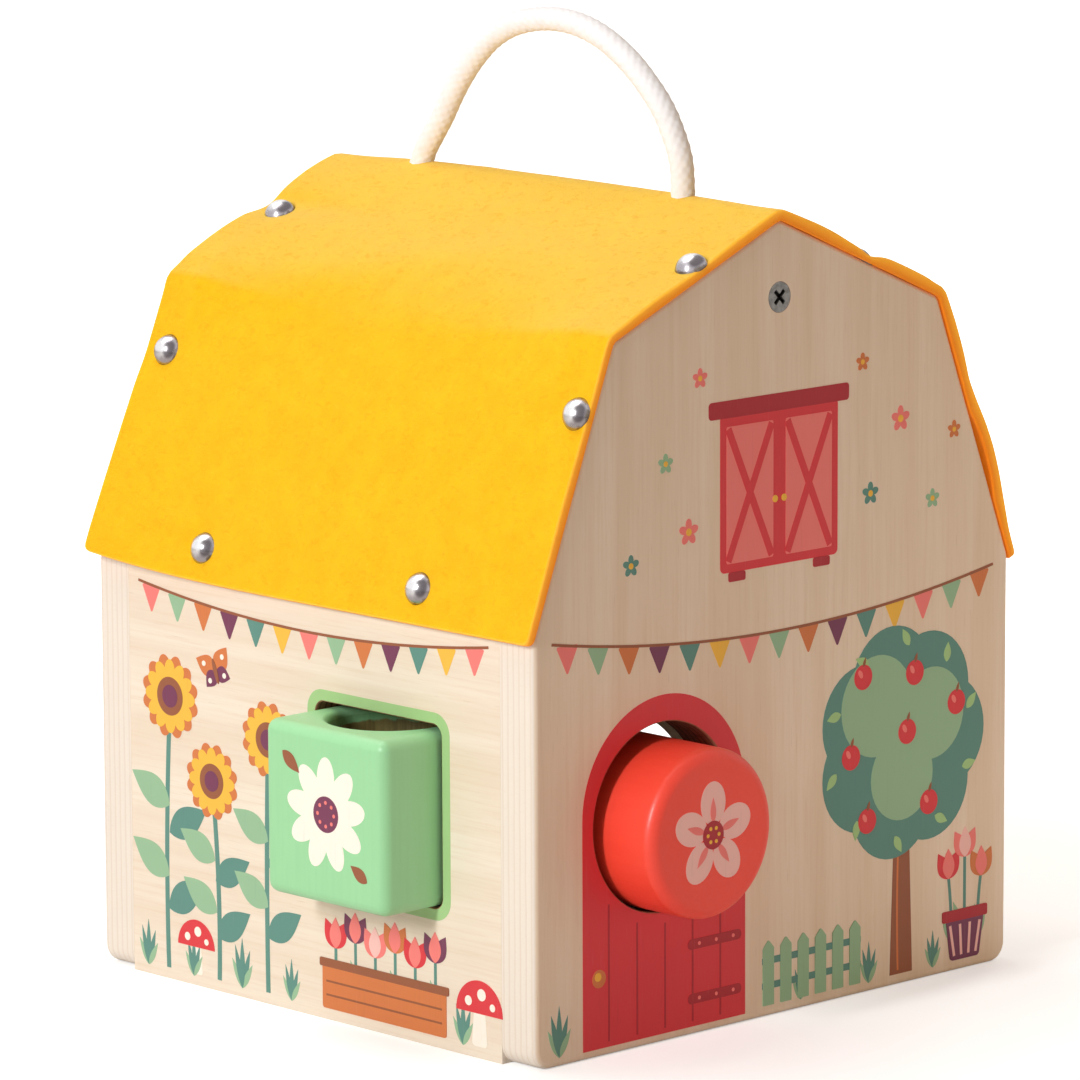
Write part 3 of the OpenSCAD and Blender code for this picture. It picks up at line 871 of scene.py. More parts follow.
def felt_line(knee_r):
    """The roof line from the left eave to the right and a little past them, its knees eased by a radius."""
    half = [RIDGE, KNEE, EAVE + unit(EAVE - KNEE) * FELT_DROP]
    line = [p * [-1, 1] for p in half[:0:-1]] + half
    eased = [fillet(a, b, c, ROOF_R if b[0] == 0 else knee_r, EASE_STEPS)
             for a, b, c in zip(line, line[1:], line[2:])]
    return np.concatenate([line[0][None], *eased, line[-1][None]])


def sampled(line, shares):
    """Places and normals on a line, at shares of its length."""
    run = runs_of(line)
    fine = np.linspace(0, run[-1], LINE_SAMPLES)
    dense = at_runs(fine, run, line)
    return [at_runs(shares * run[-1], fine, values) for values in (dense, left_of(directions(dense)))]


def slack(y):
    """How far the felt is from the gables' hold: 0 on them, 1 midway."""
    return max(0.0, 1 - (abs(y) / WALL_HALF) ** SLACK_POWER)


def nail_places():
    """Each node's nails, by their places on the wood's roof line: [signed run from the ridge, y, seat]."""
    places = {}
    sides = (("left", -1, [NAIL_SEAT] * 2, 0.0), ("right", 1, DEEP_SEATS, DEEP_INWARDS))
    for name, side, seats, inwards in sides:
        rows = zip((NAIL_UPPER[name], UPPER_SLOPE + NAIL_LOWER[name]), seats)
        places["gable_nails_" + name] = [(side * run, y, seat) for run, seat in rows
                                         for y in (NAIL_FRONT_Y + inwards, NAIL_BACK_Y - inwards)]
        places["eave_nails_" + name] = [(side * (ROOF_RUN - NAIL_EAVE), y, NAIL_SEAT)
                                        for y in (-NAIL_HALF_PITCH, NAIL_HALF_PITCH)]
    return places


NAILS = [place for places in nail_places().values() for place in places]


def near(distance, reach):
    """1 at no distance, falling off smoothly over a reach."""
    return exp(-(distance / reach) ** 2)


def fold(s, y):
    """How near a place is to the soft fold, fading out along it."""
    along = FOLD_ENDS[1] - FOLD_ENDS[0]
    off = np.array([s, y]) - FOLD_ENDS[0]
    t = float(np.clip(off @ along / (along @ along), 0, 1))
    return near(np.linalg.norm(off - along * t), FOLD_WIDTH) * (1 - FOLD_FADE * t)


def felt_form(s, y):
    """The felt's gap over the wood and its thickness, at a run from the ridge and a y."""
    corner = ("right" if s > 0 else "left") + ("_back" if y > 0 else "_front")
    down = abs(s)
    inwards = FELT_HALF_Y - abs(y)
    held = max(near(inwards, EDGE_REACH), near(ROOF_RUN - down, EAVE_REACH))
    thick = FELT_T - (FELT_T - NAILED_T) * held
    lump = sum(share * noise.noise(Vector((s * rate, y * rate, at))) for rate, at, share in LUMP_WAVES)
    height = FELT_GAP + thick + slack(y) * (LUMPS * lump + FOLD_RISE * fold(s, y))
    height += float(np.interp(y, *np.array(RIDGE_RISE).T)) * near(down, RIDGE_REACH)
    at_edge = near(inwards, EDGE_FORM_REACH[corner])
    height += at_edge * (float(np.interp(down, *EDGE_LINES[corner])) - height)
    for nail_s, nail_y, seat in NAILS:
        reach = PRESS_REACH if seat == NAIL_SEAT else DEEP_REACH
        height += near(hypot(s - nail_s, y - nail_y), reach) * (seat - height)
    room = height - FELT_GAP
    thick += near(inwards, FRAY_REACH) * (min(room, FRAYED_T) - thick)
    thick = max(LEAST_T, min(thick, room))
    gap = height - thick
    lap = EDGE_LAP * near(inwards, LAP_REACH) * near(max(0.0, gap - FELT_GAP), LAP_LIFT)
    return gap - lap, thick + lap


def add_felt():
    """One sheet from eave to eave, pressed down at its nails and slack between them."""
    half_run = ROOF_RUN + FELT_DROP
    half_y = FELT_HALF_Y
    columns = np.linspace(-half_run, half_run, int(2 * half_run / FELT_STEP))
    rows = np.linspace(-half_y, half_y, int(2 * half_y / FELT_STEP))
    tight_line, slack_line = felt_line(ROOF_R), felt_line(SLACK_KNEE_R)
    outer, inner = [], []
    for row in rows:
        spots = [round_corner(column, row, half_run, half_y, FELT_CORNER_R) for column in columns]
        lift = EAVE_LIFT_BACK * max(0.0, row / half_y) ** LIFT_BACK_POWER
        runs = np.array([s - lift * (s / half_run) ** LIFT_EAVE_POWER for s, _ in spots])
        shares = (runs + half_run) / (2 * half_run)
        tight, loose = sampled(tight_line, shares), sampled(slack_line, shares)
        for k, (_, y) in enumerate(spots):
            gap, thick = felt_form(runs[k], y)
            hold = slack(y)
            at, out = (a[k] * (1 - hold) + b[k] * hold for a, b in zip(tight, loose))
            for rise, surface in ((gap + thick, outer), (gap, inner)):
                x, z = at + unit(out) * rise
                surface.append((x, y, z))
    wide, n = len(columns), len(outer)
    faces = []
    for i in range(len(rows) - 1):
        for j in range(wide - 1):
            a = i * wide + j
            faces.append((a, a + 1, a + wide + 1, a + wide)[::-1])
            faces.append((n + a, n + a + 1, n + a + wide + 1, n + a + wide))
    rim = [*range(wide)] + [i * wide + wide - 1 for i in range(1, len(rows))]
    rim += [n - 1 - j for j in range(1, wide)] + [i * wide for i in range(len(rows) - 2, 0, -1)]
    faces += [(a, b, b + n, a + n) for a, b in zip(rim, rim[1:] + rim[:1])]
    mesh = mesh_of("felt_roof", outer + inner, faces, sharp_angle=50)
    # Where the cut edges' painted glow and painted shade go: the rim, and the underside near the front and
    # back edges
    cut = np.zeros(2 * n)
    cut[n:] = np.abs([y for _, y, _ in inner]) > half_y - GLOW_REACH
    cut[rim + [i + n for i in rim]] = 1
    mark_points(mesh, cut_edge=cut, cut_depth=np.repeat([0.0, 1.0], n))
    felt = add_piece("felt_roof", mesh, FELT, "house", stands_for=["roof_felt"])
    soften = felt.modifiers.new("soft_edge", "BEVEL")
    soften.width = FELT_EDGE_R * MM
    soften.segments = 3
    soften.limit_method = "ANGLE"
    soften.angle_limit = radians(60)


def round_corner(a, b, half_a, half_b, radius):
    """Moves a point of a rectangle inwards near a corner, so that the corner becomes round."""
    over_a, over_b = abs(a) - (half_a - radius), abs(b) - (half_b - radius)
    if over_a <= 0 or over_b <= 0:
        return a, b
    shrink = max(over_a, over_b) / hypot(over_a, over_b)
    a = copysign(half_a - radius + over_a * shrink, a)
    b = copysign(half_b - radius + over_b * shrink, b)
    return a, b


# Nails

# A dome's rolled lip: how far out from the dome's radius, and the level
LIP = [(0.05, -0.15), (-0.1, -0.45), (-0.5, -0.7)]
SHANK_R = 0.9
SHANK_LOW = -9.0
SHANK_TIP = 2
DOME_STEPS = 14
NAIL_SIDES = 48
# The painted dark reflection on a dome, in shares of its radius: its limits to the middle, rim and sides,
# each with a fade
REFLECTION_MIDDLE = (0.22, 0.3)
REFLECTION_RIM = (0.98, 0.16)
REFLECTION_SIDE = (0.75, 0.4)


def nail_profile():
    """A dome with a rolled lip, and its pointed shank."""
    ball_r = (DOME_R ** 2 + DOME_H ** 2) / (2 * DOME_H)
    turns = [radians(t) for t in np.linspace(0, degrees(asin(DOME_R / ball_r)), DOME_STEPS)]
    dome = [(ball_r * sin(t), DOME_H - ball_r * (1 - cos(t))) for t in turns]
    lip = [(DOME_R + out, level) for out, level in LIP]
    shank = [(SHANK_R, LIP[-1][1]), (SHANK_R, SHANK_LOW + SHANK_TIP), (0, SHANK_LOW)]
    return dome + lip + shank


def on_roof(s):
    """The place on the wood's roof line at a run from the ridge, and the normal there: [x, z] each."""
    side = np.array([1 if s > 0 else -1, 1])
    down = abs(s)
    start, end = (RIDGE, KNEE) if down < UPPER_SLOPE else (KNEE, EAVE)
    along = unit(end - start)
    at = start + along * (down if down < UPPER_SLOPE else down - UPPER_SLOPE)
    return at * side, np.array([-along[1], along[0]]) * side


def add_nails():
    base_points, base_faces = lathe(nail_profile(), NAIL_SIDES)
    # Each dome point's distance to the rim and its share of the painted dark reflection
    rims, stains = zip(*[nail_stain(u / DOME_R, v / DOME_R) for u, v, _ in base_points])
    level = np.array([0, 1.0, 0])
    for node, places in nail_places().items():
        parts = []
        for s, y, seat in places:
            at, normal = on_roof(s)
            foot = at + normal * seat
            out = np.array([normal[0], 0, normal[1]])
            across = np.cross(level, out)
            points = [np.array([foot[0], y, foot[1]]) + u * across + v * level + h * out
                      for u, v, h in base_points]
            parts.append((points, base_faces))
        name = node.replace("nails", "domes")
        mesh = mesh_of(name, *merged(parts), sharp_angle=50)
        mark_points(mesh, rim=rims * len(places), stain=stains * len(places))
        add_piece(name, mesh, CHROME, "house", stands_for=[node])


def nail_stain(u, v):
    """How near a point of a dome is to its rim, and how much painted dark reflection it carries: a crescent
    towards the front.
    """
    r = hypot(u, v)
    insides = ((-v - REFLECTION_MIDDLE[0]) / REFLECTION_MIDDLE[1], (REFLECTION_RIM[0] - r) / REFLECTION_RIM[1],
               (REFLECTION_SIDE[0] - abs(u)) / REFLECTION_SIDE[1])
    return r, float(np.prod(np.clip(insides, 0, 1)))


# Posting blocks

BLOCK_SIDES = 96
BLOCK_EDGE_POINTS = 9


def add_blocks():
    radius = (round_high[0] - round_low[0]) / 2
    length = round_high[1] - round_low[1]
    edge = [(radius - BLOCK_EDGE_R + BLOCK_EDGE_R * sin(t), BLOCK_EDGE_R * (cos(t) - 1))
            for t in np.linspace(0, pi / 2, BLOCK_EDGE_POINTS)]
    profile = [(0, 0)] + edge + [(r, -length - h) for r, h in reversed(edge)] + [(0, -length)]
    mesh = mesh_of("round_peg_block", *lathe(profile, BLOCK_SIDES), sharp_angle=30)
    block = add_piece("round_peg_block", mesh, RED_PAINT, "round_peg",
                      PANELS["round_face"], ["round_block"])
    block.modifiers.new("flat_faces", "WEIGHTED_NORMAL")
    rings = [square((0, 0), SQUARE_SIDE, BLOCK_EDGE_R), circle((0, 0), BORE_R)]
    place = placed((square_axis[0], square_axis[1], square_low[2]), (1, 0, 0), (0, 1, 0))
    mesh = mesh_of("square_peg_block", *prism(rings, 0, SQUARE_SIDE, [BLOCK_EDGE_R, BORE_EDGE_R]))
    add_piece("square_peg_block", mesh, GREEN_PAINT, "square_peg", place,
              ["square_block"])
    mesh.materials.append(BORE)
    for face in mesh.polygons:
        face.material_index = int(face.center.xy.length < BORE_R * MM)


def dress_cad():
    """Materials of the CAD nodes that stay."""
    finishes = {
        "floor_panel": PLY_UPRIGHT, "ridge_beam": PINE, "wall_dowels_front": BEECH,
        "wall_dowels_back": BEECH, "floor_dowels": BEECH, "ridge_screw_front": STEEL,
        "ridge_screw_back": STEEL}
    for node, material in finishes.items():
        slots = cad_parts[node].data.materials
        slots.clear()
        slots.append(material)


# Printed decoration: generic garden motifs, each a thin closed solid on its panel

# Each layer's thickness, and the small step between shapes of one layer that may overlap
INK_T = 0.05
INK_STEP = 0.0015
INK_STEPS = 30
INKS = {
    "red": srgb(222, 54, 62),
    "dark_red": srgb(176, 34, 46),
    "coral": srgb(246, 128, 122),
    "pink": srgb(250, 196, 188),
    "sage": srgb(152, 190, 152),
    "teal": srgb(92, 142, 130),
    "border": srgb(166, 204, 138),
    "orange": srgb(214, 122, 66),
    "brown": srgb(152, 88, 56),
    "yellow": srgb(246, 190, 66),
    "plum": srgb(118, 54, 84),
    "cream": srgb(252, 244, 230),
}
FLAG_INKS = ["coral", "sage", "orange", "plum", "teal", "yellow"]
INK_BODIES = {"round_face": ("round_peg", "red_paint"), "square_face": ("square_peg", "green_paint")}
# The levels on which the motifs and the tufts of grass stand
GROUND = 3
GRASS_V = 2.4
art = {}
drawn = {}


def draw(panel, layer, ink, *shapes):
    """Keeps shapes for a panel. A shape is an outline, or a list of an outline and its holes."""
    for shape in shapes:
        step = drawn[panel, layer] = (drawn.get((panel, layer), -1) + 1) % INK_STEPS
        rings = shape if isinstance(shape, list) else [shape]
        art.setdefault((panel, layer, ink), []).append((rings, INK_T * (layer + 1) + INK_STEP * step))


def add_prints():
    """One mesh for each ink and layer of a panel."""
    materials = {ink: print_ink(ink, colour) for ink, colour in INKS.items()}
    for (panel, layer, ink), shapes in sorted(art.items()):
        parts = [prism(rings, -INK_T, top)[:2] for rings, top in shapes]
        name = "print_%s_%s_%d" % (panel, ink, layer)
        body, slot = INK_BODIES.get(panel, ("house", "plywood"))
        add_piece(name, mesh_of(name, *merged(parts)), materials[ink], body, PANELS[panel])


def leaf(base, length, width, angle):
    """A pointed leaf from its base, turned by an angle in degrees."""
    t = np.linspace(0, 1, 16)
    upper = np.stack([t * length, width / 2 * np.sin(pi * t ** 0.8)], axis=1)
    lower = (upper * [1, -1])[-2:0:-1]
    return turned(np.concatenate([upper, lower]), angle) + np.array(base)


def stroke(points, width):
    """A line of even width through the points."""
    points = np.array(points, float)
    side = left_of(directions(points)) * width / 2
    return np.concatenate([points + side, (points - side)[::-1]])


def bend(start, end, bow, steps=16):
    """Points from start to end on a line that bows to its left."""
    start, end = np.array(start, float), np.array(end, float)
    t = np.linspace(0, 1, steps)[:, None]
    side = np.array([start[1] - end[1], end[0] - start[0]])
    return start + (end - start) * t + unit(side) * bow * 4 * t * (1 - t)


def petals(centre, inner, outer, width, count, start=0.0):
    """Petals round a centre."""
    half = (outer - inner) / 2
    return [ellipse(polar(polar(centre, inner, angle), half, angle), half, width / 2, angle)
            for angle in start + np.arange(count) * 360 / count]


def dots(centre, reach, angles, radius, steps):
    """Small circles round a centre."""
    return [circle(polar(centre, reach, angle), radius, steps) for angle in angles]


def bunting(panel, half_w, top, sag, count):
    """A string of pennants across a panel."""
    line = bend((-half_w, top), (half_w, top), -sag, 40)
    draw(panel, 1, "brown", stroke(line, 0.7))
    flag_w, flag_h = 2 * half_w / count * 0.72, 7.5
    for k in range(count):
        at = at_runs((k + 0.5) / count, np.linspace(0, 1, 40), line)
        corners = [at + [-flag_w / 2, 0], at + [0, -flag_h], at + [flag_w / 2, 0]]
        draw(panel, 0, FLAG_INKS[k % len(FLAG_INKS)], rounded(corners, [0.4] * 3))


def grass(panel, u, size):
    for angle, length in ((118, 0.7), (104, 0.95), (90, 1.1), (74, 0.9), (60, 0.65)):
        blade = leaf((u, GRASS_V), size * length, size * 0.16, angle)
        draw(panel, 0, "sage" if length < 0.9 else "teal", blade)


def tulip(panel, u, v, height, ink, lean=0.0):
    """A tulip of three petals, with two leaves at its foot."""
    top = np.array([u + lean, v + height])
    draw(panel, 0, "teal", stroke(bend((u, v), top, lean / 3), 1.0))
    for angle, length in ((112, 0.5), (66, 0.42)):
        draw(panel, 0, "sage", leaf((u, v), height * length, height * 0.13, angle))
    cup = top - [0, 1]
    draw(panel, 1, ink, leaf(cup, 8.2, 4.6, 118), leaf(cup, 8.2, 4.6, 62))
    draw(panel, 2, "coral" if ink != "coral" else "pink", leaf(cup, 8.0, 4.4, 90))


def sunflower(panel, u, height, radius, lean):
    head = np.array([u + lean, GROUND + height])
    draw(panel, 0, "teal", stroke(bend((u, GROUND), head, lean / 2), 1.6))
    for rise, angle in ((0.22, 32), (0.34, 150), (0.5, 28), (0.6, 154)):
        foot = (u + lean * rise, GROUND + height * rise)
        draw(panel, 0, "sage" if angle > 90 else "teal", leaf(foot, radius * 1.5, radius * 0.75, angle))
    draw(panel, 1, "orange", *petals(head, radius * 0.4, radius, radius * 0.42, 12, 15))
    draw(panel, 2, "yellow", *petals(head, radius * 0.35, radius * 0.88, radius * 0.36, 12))
    draw(panel, 3, "brown", circle(head, radius * 0.46, 40))
    draw(panel, 4, "plum", circle(head, radius * 0.27, 32))


def mushroom(panel, u, size):
    foot, neck, high = size * 0.2, size * 0.14, GROUND + size * 0.7
    stem = [(u - foot, GROUND), (u + foot, GROUND), (u + neck, high), (u - neck, high)]
    draw(panel, 0, "cream", rounded(stem, [size * 0.08] * 4))
    draw(panel, 1, "red", arc((u, GROUND + size * 0.6), size * 0.6, 0, 180, 28))
    for shift, rise, r in ((-0.28, 0.8, 0.09), (0.06, 0.95, 0.11), (0.34, 0.76, 0.07)):
        draw(panel, 2, "cream", circle((u + shift * size, GROUND + rise * size), r * size, 20))


def blossom(panel, u, v, radius, ink):
    draw(panel, 0, ink, *petals((u, v), radius * 0.1, radius, radius * 0.62, 5, 90))
    draw(panel, 1, "yellow", circle((u, v), radius * 0.28, 24))


def butterfly(panel, u, v, size, turn):
    for side in (-1, 1):
        for ink, reach, width, angle in (("orange", 1.0, 0.7, 38), ("plum", 0.72, 0.55, -32)):
            tilt = turn + (angle if side > 0 else 180 - angle)
            draw(panel, 0, ink, leaf((u, v), size * reach, size * width, tilt))
            draw(panel, 1, "cream", circle(polar((u, v), size * reach * 0.6, tilt), size * 0.09, 18))
    draw(panel, 2, "brown", ellipse((u, v), size * 0.09, size * 0.42, turn))


def apple_tree(panel, u, height):
    """A round crown of leaves on a short trunk, with apples."""
    crown, spread = np.array([u, GROUND + height * 0.68]), height * 0.32
    fork = GROUND + height * 0.55
    trunk = [(u - 4.2, GROUND), (u + 4.2, GROUND), (u + 2.4, fork), (u - 2.4, fork)]
    draw(panel, 0, "brown", np.array(trunk))
    bark = bend((u - 1.2, GROUND + 1), (u - 0.6, GROUND + height * 0.5), 0.6)
    draw(panel, 0, "orange", stroke(bark, 0.7))
    draw(panel, 1, "teal", *dots(crown, spread * 0.55, np.arange(7) * 360 / 7, spread * 0.52, 40))
    for shift, r in (((-0.32, 0.36), 0.46), ((0.38, 0.2), 0.42), ((0.0, -0.32), 0.4)):
        draw(panel, 2, "sage", circle(crown + np.array(shift) * spread, r * spread, 36))
    apples = ((20, 0.75), (75, 0.62), (128, 0.82), (185, 0.66), (236, 0.8), (300, 0.7), (50, 0.1))
    for angle, reach in apples:
        at = polar(crown, spread * reach, angle)
        draw(panel, 3, "red", circle(at, 3.3, 28))
        draw(panel, 4, "coral", ellipse(at + [-1.0, 0.9], 0.7, 1.2, 30, 16))
        draw(panel, 4, "brown", leaf(at + [0, 2.6], 2.6, 0.9, 70))
    for angle in np.arange(10) * 36 + 12:
        draw(panel, 2, "border", leaf(polar(crown, spread * 0.86, angle), 5.2, 2.6, angle + 35))


def planter(panel, left, right, height):
    """A wooden flower box."""
    top = GROUND + height
    draw(panel, 3, "orange", rectangle((left, GROUND), (right, top), 0.8))
    draw(panel, 4, "brown", rectangle((left - 1, top - 1.2), (right + 1, top + 1), 0.5))
    for share in (0.33, 0.66):
        level = GROUND + (height - 1.2) * share
        draw(panel, 4, "brown", rectangle((left + 1.5, level - 0.25), (right - 1.5, level + 0.25)))


def fence(panel, left, right, height, count):
    for share in (0.3, 0.68):
        rail = GROUND + height * share
        draw(panel, 1, "teal", rectangle((left, rail - 0.9), (right, rail + 0.9), 0.3))
    top, neck = GROUND + height, GROUND + height - 2.2
    for u in np.linspace(left + 2.2, right - 2.2, count):
        pale = [(u - 2, GROUND), (u + 2, GROUND), (u + 2, neck), (u, top), (u - 2, neck)]
        draw(panel, 2, "sage", rounded(pale, [0.2, 0.2, 0.5, 0.5, 0.5]))


def stripe_pot(panel, u, width, height):
    """A flower pot with upright stripes."""
    foot, half, top = width * 0.36, width / 2, GROUND + height
    pot = [(u - foot, GROUND), (u + foot, GROUND), (u + half, top), (u - half, top)]
    draw(panel, 3, "plum", rounded(pot, [1.2, 1.2, 0.4, 0.4]))
    for k in (-1.5, -0.5, 0.5, 1.5):
        low, high = u + k * foot * 0.5, u + k * width * 0.25
        draw(panel, 4, "pink", stroke([(low, GROUND + 1.2), (high, top - 3.6)], 0.9))
    draw(panel, 4, "dark_red", rectangle((u - half - 1, top - 2.6), (u + half + 1, top + 0.4), 0.5))


def loft_hatch(panel):
    """A pair of loft doors with crossed boards under a plain lintel."""
    low_v, width, height, board = 116, 42, 40, 2.2
    half, top = width / 2, low_v + height
    draw(panel, 0, "red", plate(0, low_v, width, height, 1.5))
    draw(panel, 1, "dark_red", rectangle((-half - 4, top - 1), (half + 4, top + 3.4), 1.0))
    for side in (-1, 1):
        low = np.array([board if side > 0 else board - half, low_v + board])
        high = np.array([half - board if side > 0 else -board, top - 1 - board])
        (left, foot), (right, head) = low + 0.6, high - 0.6
        draw(panel, 1, "coral", rectangle(low, high, 0.6))
        draw(panel, 2, "red", stroke([(left, foot), (right, head)], board))
        draw(panel, 2, "red", stroke([(left, head), (right, foot)], board))
        draw(panel, 3, "yellow", circle((side * 1.6, low_v + height * 0.42), 0.9, 20))
    for u in (-0.36 * width, 0.36 * width):
        draw(panel, 2, "dark_red", rectangle((u - 3, low_v - 2.4), (u + 3, low_v), 0.6))


def plank_door(panel):
    """The red arched door round the posting hole, with planks, studded straps and a knob."""
    half_w, middle, low, spring = 28.4, -40.5, 2.2, 60.0
    rim = circle(ROUND_HOLE, ROUND_HOLE_R + HOLE_EDGE_R)
    draw(panel, 0, "red", [doorway(half_w, low, spring, middle), rim])
    for u in (-60.0, -50.2, -40.5, -30.8, -21.0):
        reach = (ROUND_HOLE_R + 3.0) ** 2 - (u - ROUND_HOLE[0]) ** 2
        draw(panel, 1, "dark_red", stroke([(u, low + 1.4), (u, ROUND_HOLE[1] - sqrt(reach))], 0.6))
    for level in (8.0, 22.0):
        strap = rectangle((middle + 8, level), (middle + half_w - 1.5, level + 2.6), 1.2)
        draw(panel, 2, "dark_red", strap)
        for shift in (12, 18, 24):
            draw(panel, 3, "coral", circle((middle + shift, level + 1.3), 0.5, 16))
    draw(panel, 2, "orange", circle((middle - half_w + 5.5, 20), 2.3, 32))
    draw(panel, 3, "yellow", circle((middle - half_w + 5.1, 20.5), 1.1, 24))


def scatter(motif, panel, *places):
    """Draws a motif several times."""
    for place in places:
        motif(panel, *place)


def decorate():
    plank_door("front")
    loft_hatch("front")
    bunting("front", 79, 106, 7, 15)
    apple_tree("front", 45, 90)
    fence("front", -6, 30, 17, 6)
    stripe_pot("front", 69, 15, 13)
    scatter(tulip, "front", (64, 8, 18, "red", -1.25), (69, 8, 23, "coral"), (74, 8, 17, "orange", 1.25))
    scatter(grass, "front", (-77, 12), (8, 9), (33, 10), (57, 9))
    scatter(blossom, "front", (-32, 128, 3.4, "coral"), (-40, 146, 2.6, "sage"), (33, 130, 3.0, "teal"),
            (44, 148, 3.4, "coral"), (56, 126, 2.6, "sage"), (-52, 122, 2.8, "teal"),
            (30, 164, 2.4, "orange"), (-28, 166, 2.6, "coral"), (64, 143, 2.4, "orange"))

    gap_ring = square(SQUARE_HOLE_AT, SQUARE_HOLE + 2 * HOLE_EDGE_R, SQUARE_HOLE_R + HOLE_EDGE_R)
    draw("left", 0, "border", [square(SQUARE_HOLE_AT, 52.6, 5.5), gap_ring])
    bunting("left", 66, 104, 5, 13)
    scatter(sunflower, "left", (-56, 72, 11, 2), (-36, 52, 10, -2), (-17, 66, 10, 1))
    planter("left", 4, 50, 12)
    for k, ink in enumerate(("red", "plum", "coral", "orange", "red", "plum")):
        tulip("left", 9 + 7.4 * k, 12, 8 + 2.5 * (k % 2), ink)
    scatter(grass, "left", (-64, 11), (-46, 10), (-27, 12), (-8, 10), (56, 11))
    scatter(mushroom, "left", (-45, 12), (62, 14))
    butterfly("left", -36, 84, 8, 20)

    draw("right", 0, "coral", [circle(PEEP_AT, PEEP_R + 4.6), circle(PEEP_AT, PEEP_R + HOLE_EDGE_R)])
    bunting("right", 66, 104, 5, 13)
    scatter(sunflower, "right", (-54, 64, 11, -2), (-30, 48, 10, 2), (-6, 70, 11, 0))
    scatter(grass, "right", (-64, 11), (-42, 10), (-18, 12), (6, 10), (66, 9))
    mushroom("right", 14, 13)
    butterfly("right", 36, 76, 9, -15)
    scatter(blossom, "right", (58, 62, 4, "teal"), (22, 88, 3.4, "coral"))

    opening = doorway(DOOR_HALF_W + HOLE_EDGE_R, DOOR_SILL - HOLE_EDGE_R, DOOR_SPRING)
    draw("back", 0, "red", [doorway(DOOR_HALF_W + 6, 2.2, DOOR_SPRING), opening])
    bunting("back", 79, 106, 7, 15)
    loft_hatch("back")
    for side in (-1, 1):
        pot = side * 56
        stripe_pot("back", pot, 18, 15)
        scatter(tulip, "back", (pot - 5, 10, 20, "red", -1.5), (pot, 10, 24, "coral"),
                (pot + 5, 10, 20, "orange", 1.5))
        scatter(grass, "back", (side * 40, 10), (side * 74, 12))
        butterfly("back", side * 52, 72, 8, side * 15)
        scatter(blossom, "back", (side * 46, 132, 3.6, "coral"), (side * 34, 150, 2.8, "teal"),
                (side * 60, 120, 3.0, "sage"))

    draw("square_face", 0, "cream", *petals((1, 1), 3, 14.5, 6.4, 9, 10))
    draw("square_face", 1, "plum", circle((1, 1), 4.6, 40))
    draw("square_face", 2, "coral", *dots((1, 1), 3.0, np.arange(8) * 45, 0.5, 14))
    draw("square_face", 0, "brown", leaf((-15, 15), 8, 3.6, -38), leaf((16, -14), 7, 3.4, 150))
    draw("round_face", 0, "pink", *petals((0, 0), 2.5, 13.5, 8.6, 5, 90))
    for angle in 90 + np.arange(5) * 72:
        draw("round_face", 1, "coral", leaf(polar((0, 0), 3, angle), 6.5, 2.0, angle))
    draw("round_face", 2, "dark_red", circle((0, 0), 3.6, 36))
    draw("round_face", 3, "yellow", *dots((0, 0), 1.9, np.arange(6) * 60, 0.5, 14))


# Light, floor and background

WHITE = (1.0, 1.0, 1.0)
WORLD_LEVEL = 0.255
WORLD_TINT = (1.0, 0.715, 0.49, 1.0)
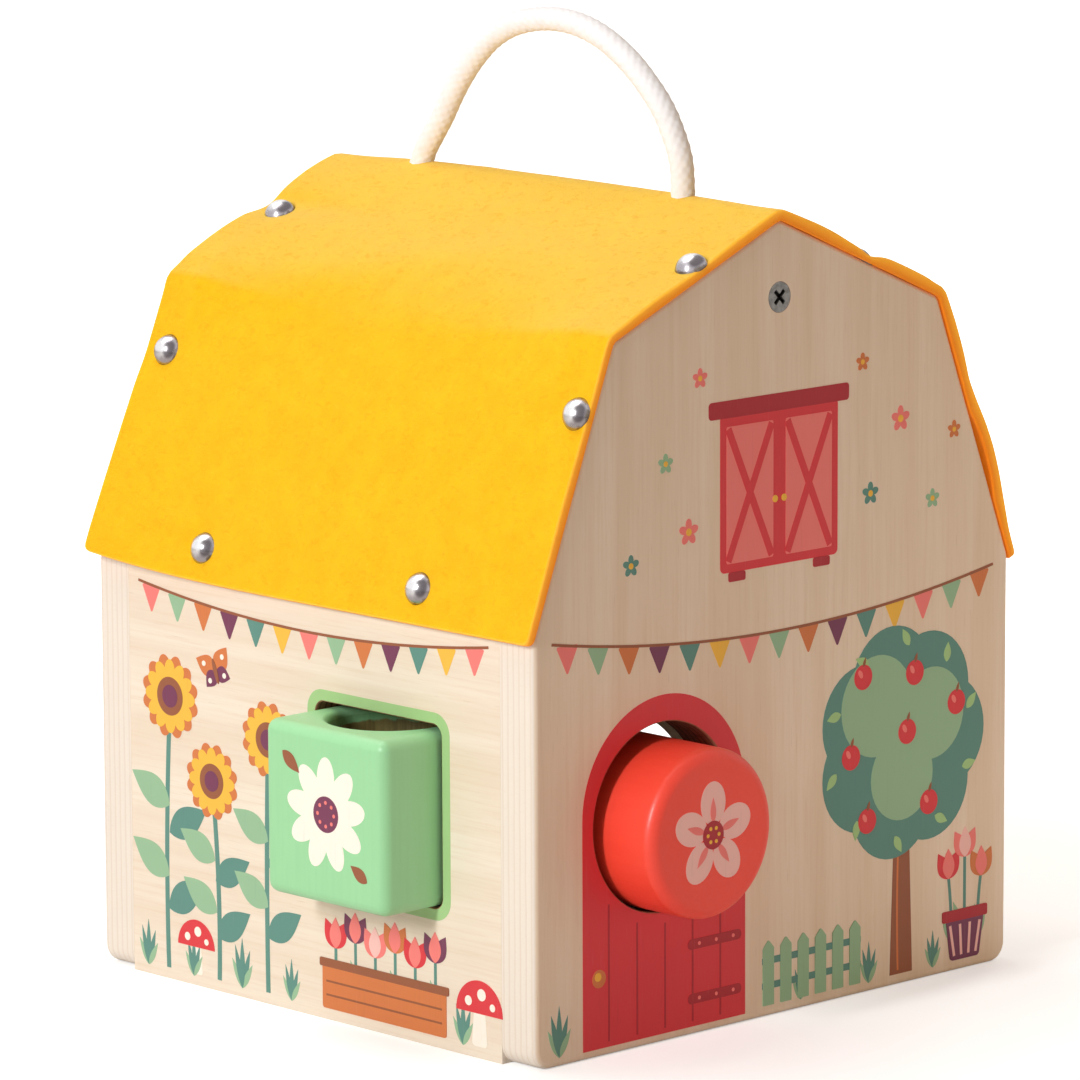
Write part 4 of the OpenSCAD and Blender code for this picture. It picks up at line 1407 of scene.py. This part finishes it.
# Each lamp's name, place, watts, size, colour, and whether it shows in shiny things
LAMPS = [
    ("key", (-1.6, -0.18, 0.8), 19.3, (0.2, 0.6), (0.955, 0.985, 1.0), True),
    ("top", (-0.25, 0.7, 2.0), 19.5, (1.4, 1.4), WHITE, True),
    ("fill", (0.31, -0.35, 0.03), 0.33, (0.25, 0.25), (1.0, 0.8, 0.64), False),
    ("foot", (0.05, -0.17, 0.012), 0.0085, (0.16, 0.02), (1.0, 0.9, 0.82), False),
    ("side", (1.3, 0.45, 0.75), 4.5, (0.6, 0.6), WHITE, False),
]
AIM = Vector((0, 0, 0.1))
FLOOR_SIZE = 12.0
# The floor's own white for the camera, in millimetres from the object: a little near it, full further off
FLOOR_GLOW = 0.46
FADE_FROM = 160.0
FADE_TO = 420.0


def add_lamp(name, at, power, size, colour, mirrored):
    data = bpy.data.lights.new(name, "AREA")
    data.energy = power
    data.shape = "RECTANGLE"
    data.size, data.size_y = size
    data.color = colour
    lamp = add_object(name, data)
    lamp.location = at
    lamp.rotation_euler = (AIM - Vector(at)).to_track_quat("-Z", "Y").to_euler()
    lamp.visible_camera = False
    lamp.visible_glossy = mirrored


def add_stage():
    s = Shade("studio", "worlds", "Background")
    path = s.add("ShaderNodeLightPath").outputs
    seen = path["Is Camera Ray"]
    for kind in ("Is Glossy Ray", "Is Transmission Ray"):
        seen = s.math("MAXIMUM", seen, path[kind])
    bpy.context.scene.world = s.done(Color=s.mix(seen, WORLD_TINT, (*WHITE, 1)),
                                     Strength=s.spread(seen, 0.0, 1.0, WORLD_LEVEL, 1.0))

    mesh = bpy.data.meshes.new("floor")
    mesh.from_pydata([(x, y, 0) for x, y in square((0, 0), FLOOR_SIZE)], [], [(0, 1, 2, 3)])
    floor = add_object("floor", mesh)
    s = Shade("studio_floor")
    tone = s.tinted(srgb(224, 224, 224), s.noise(0.01, detail=2.0), 0.3, 0.7, srgb(228, 228, 228))
    camera_only = s.add("ShaderNodeLightPath").outputs["Is Camera Ray"]
    away = s.add("ShaderNodeVectorMath", {0: s.coords()}, operation="LENGTH").outputs["Value"]
    glow = s.spread(away, FADE_FROM, FADE_TO, FLOOR_GLOW, 1.0)
    mesh.materials.append(s.done(
        Base_Color=tone, Roughness=0.9, Specular_IOR_Level=0.1, Emission_Color=(*WHITE, 1),
        Emission_Strength=s.math("MULTIPLY", camera_only, glow)))
    for lamp in LAMPS:
        add_lamp(*lamp)
    bpy.context.scene.view_settings.view_transform = "Standard"


add_camera()
add_rope()
add_panels()
add_felt()
add_nails()
add_blocks()
dress_cad()
decorate()
add_prints()
add_stage()
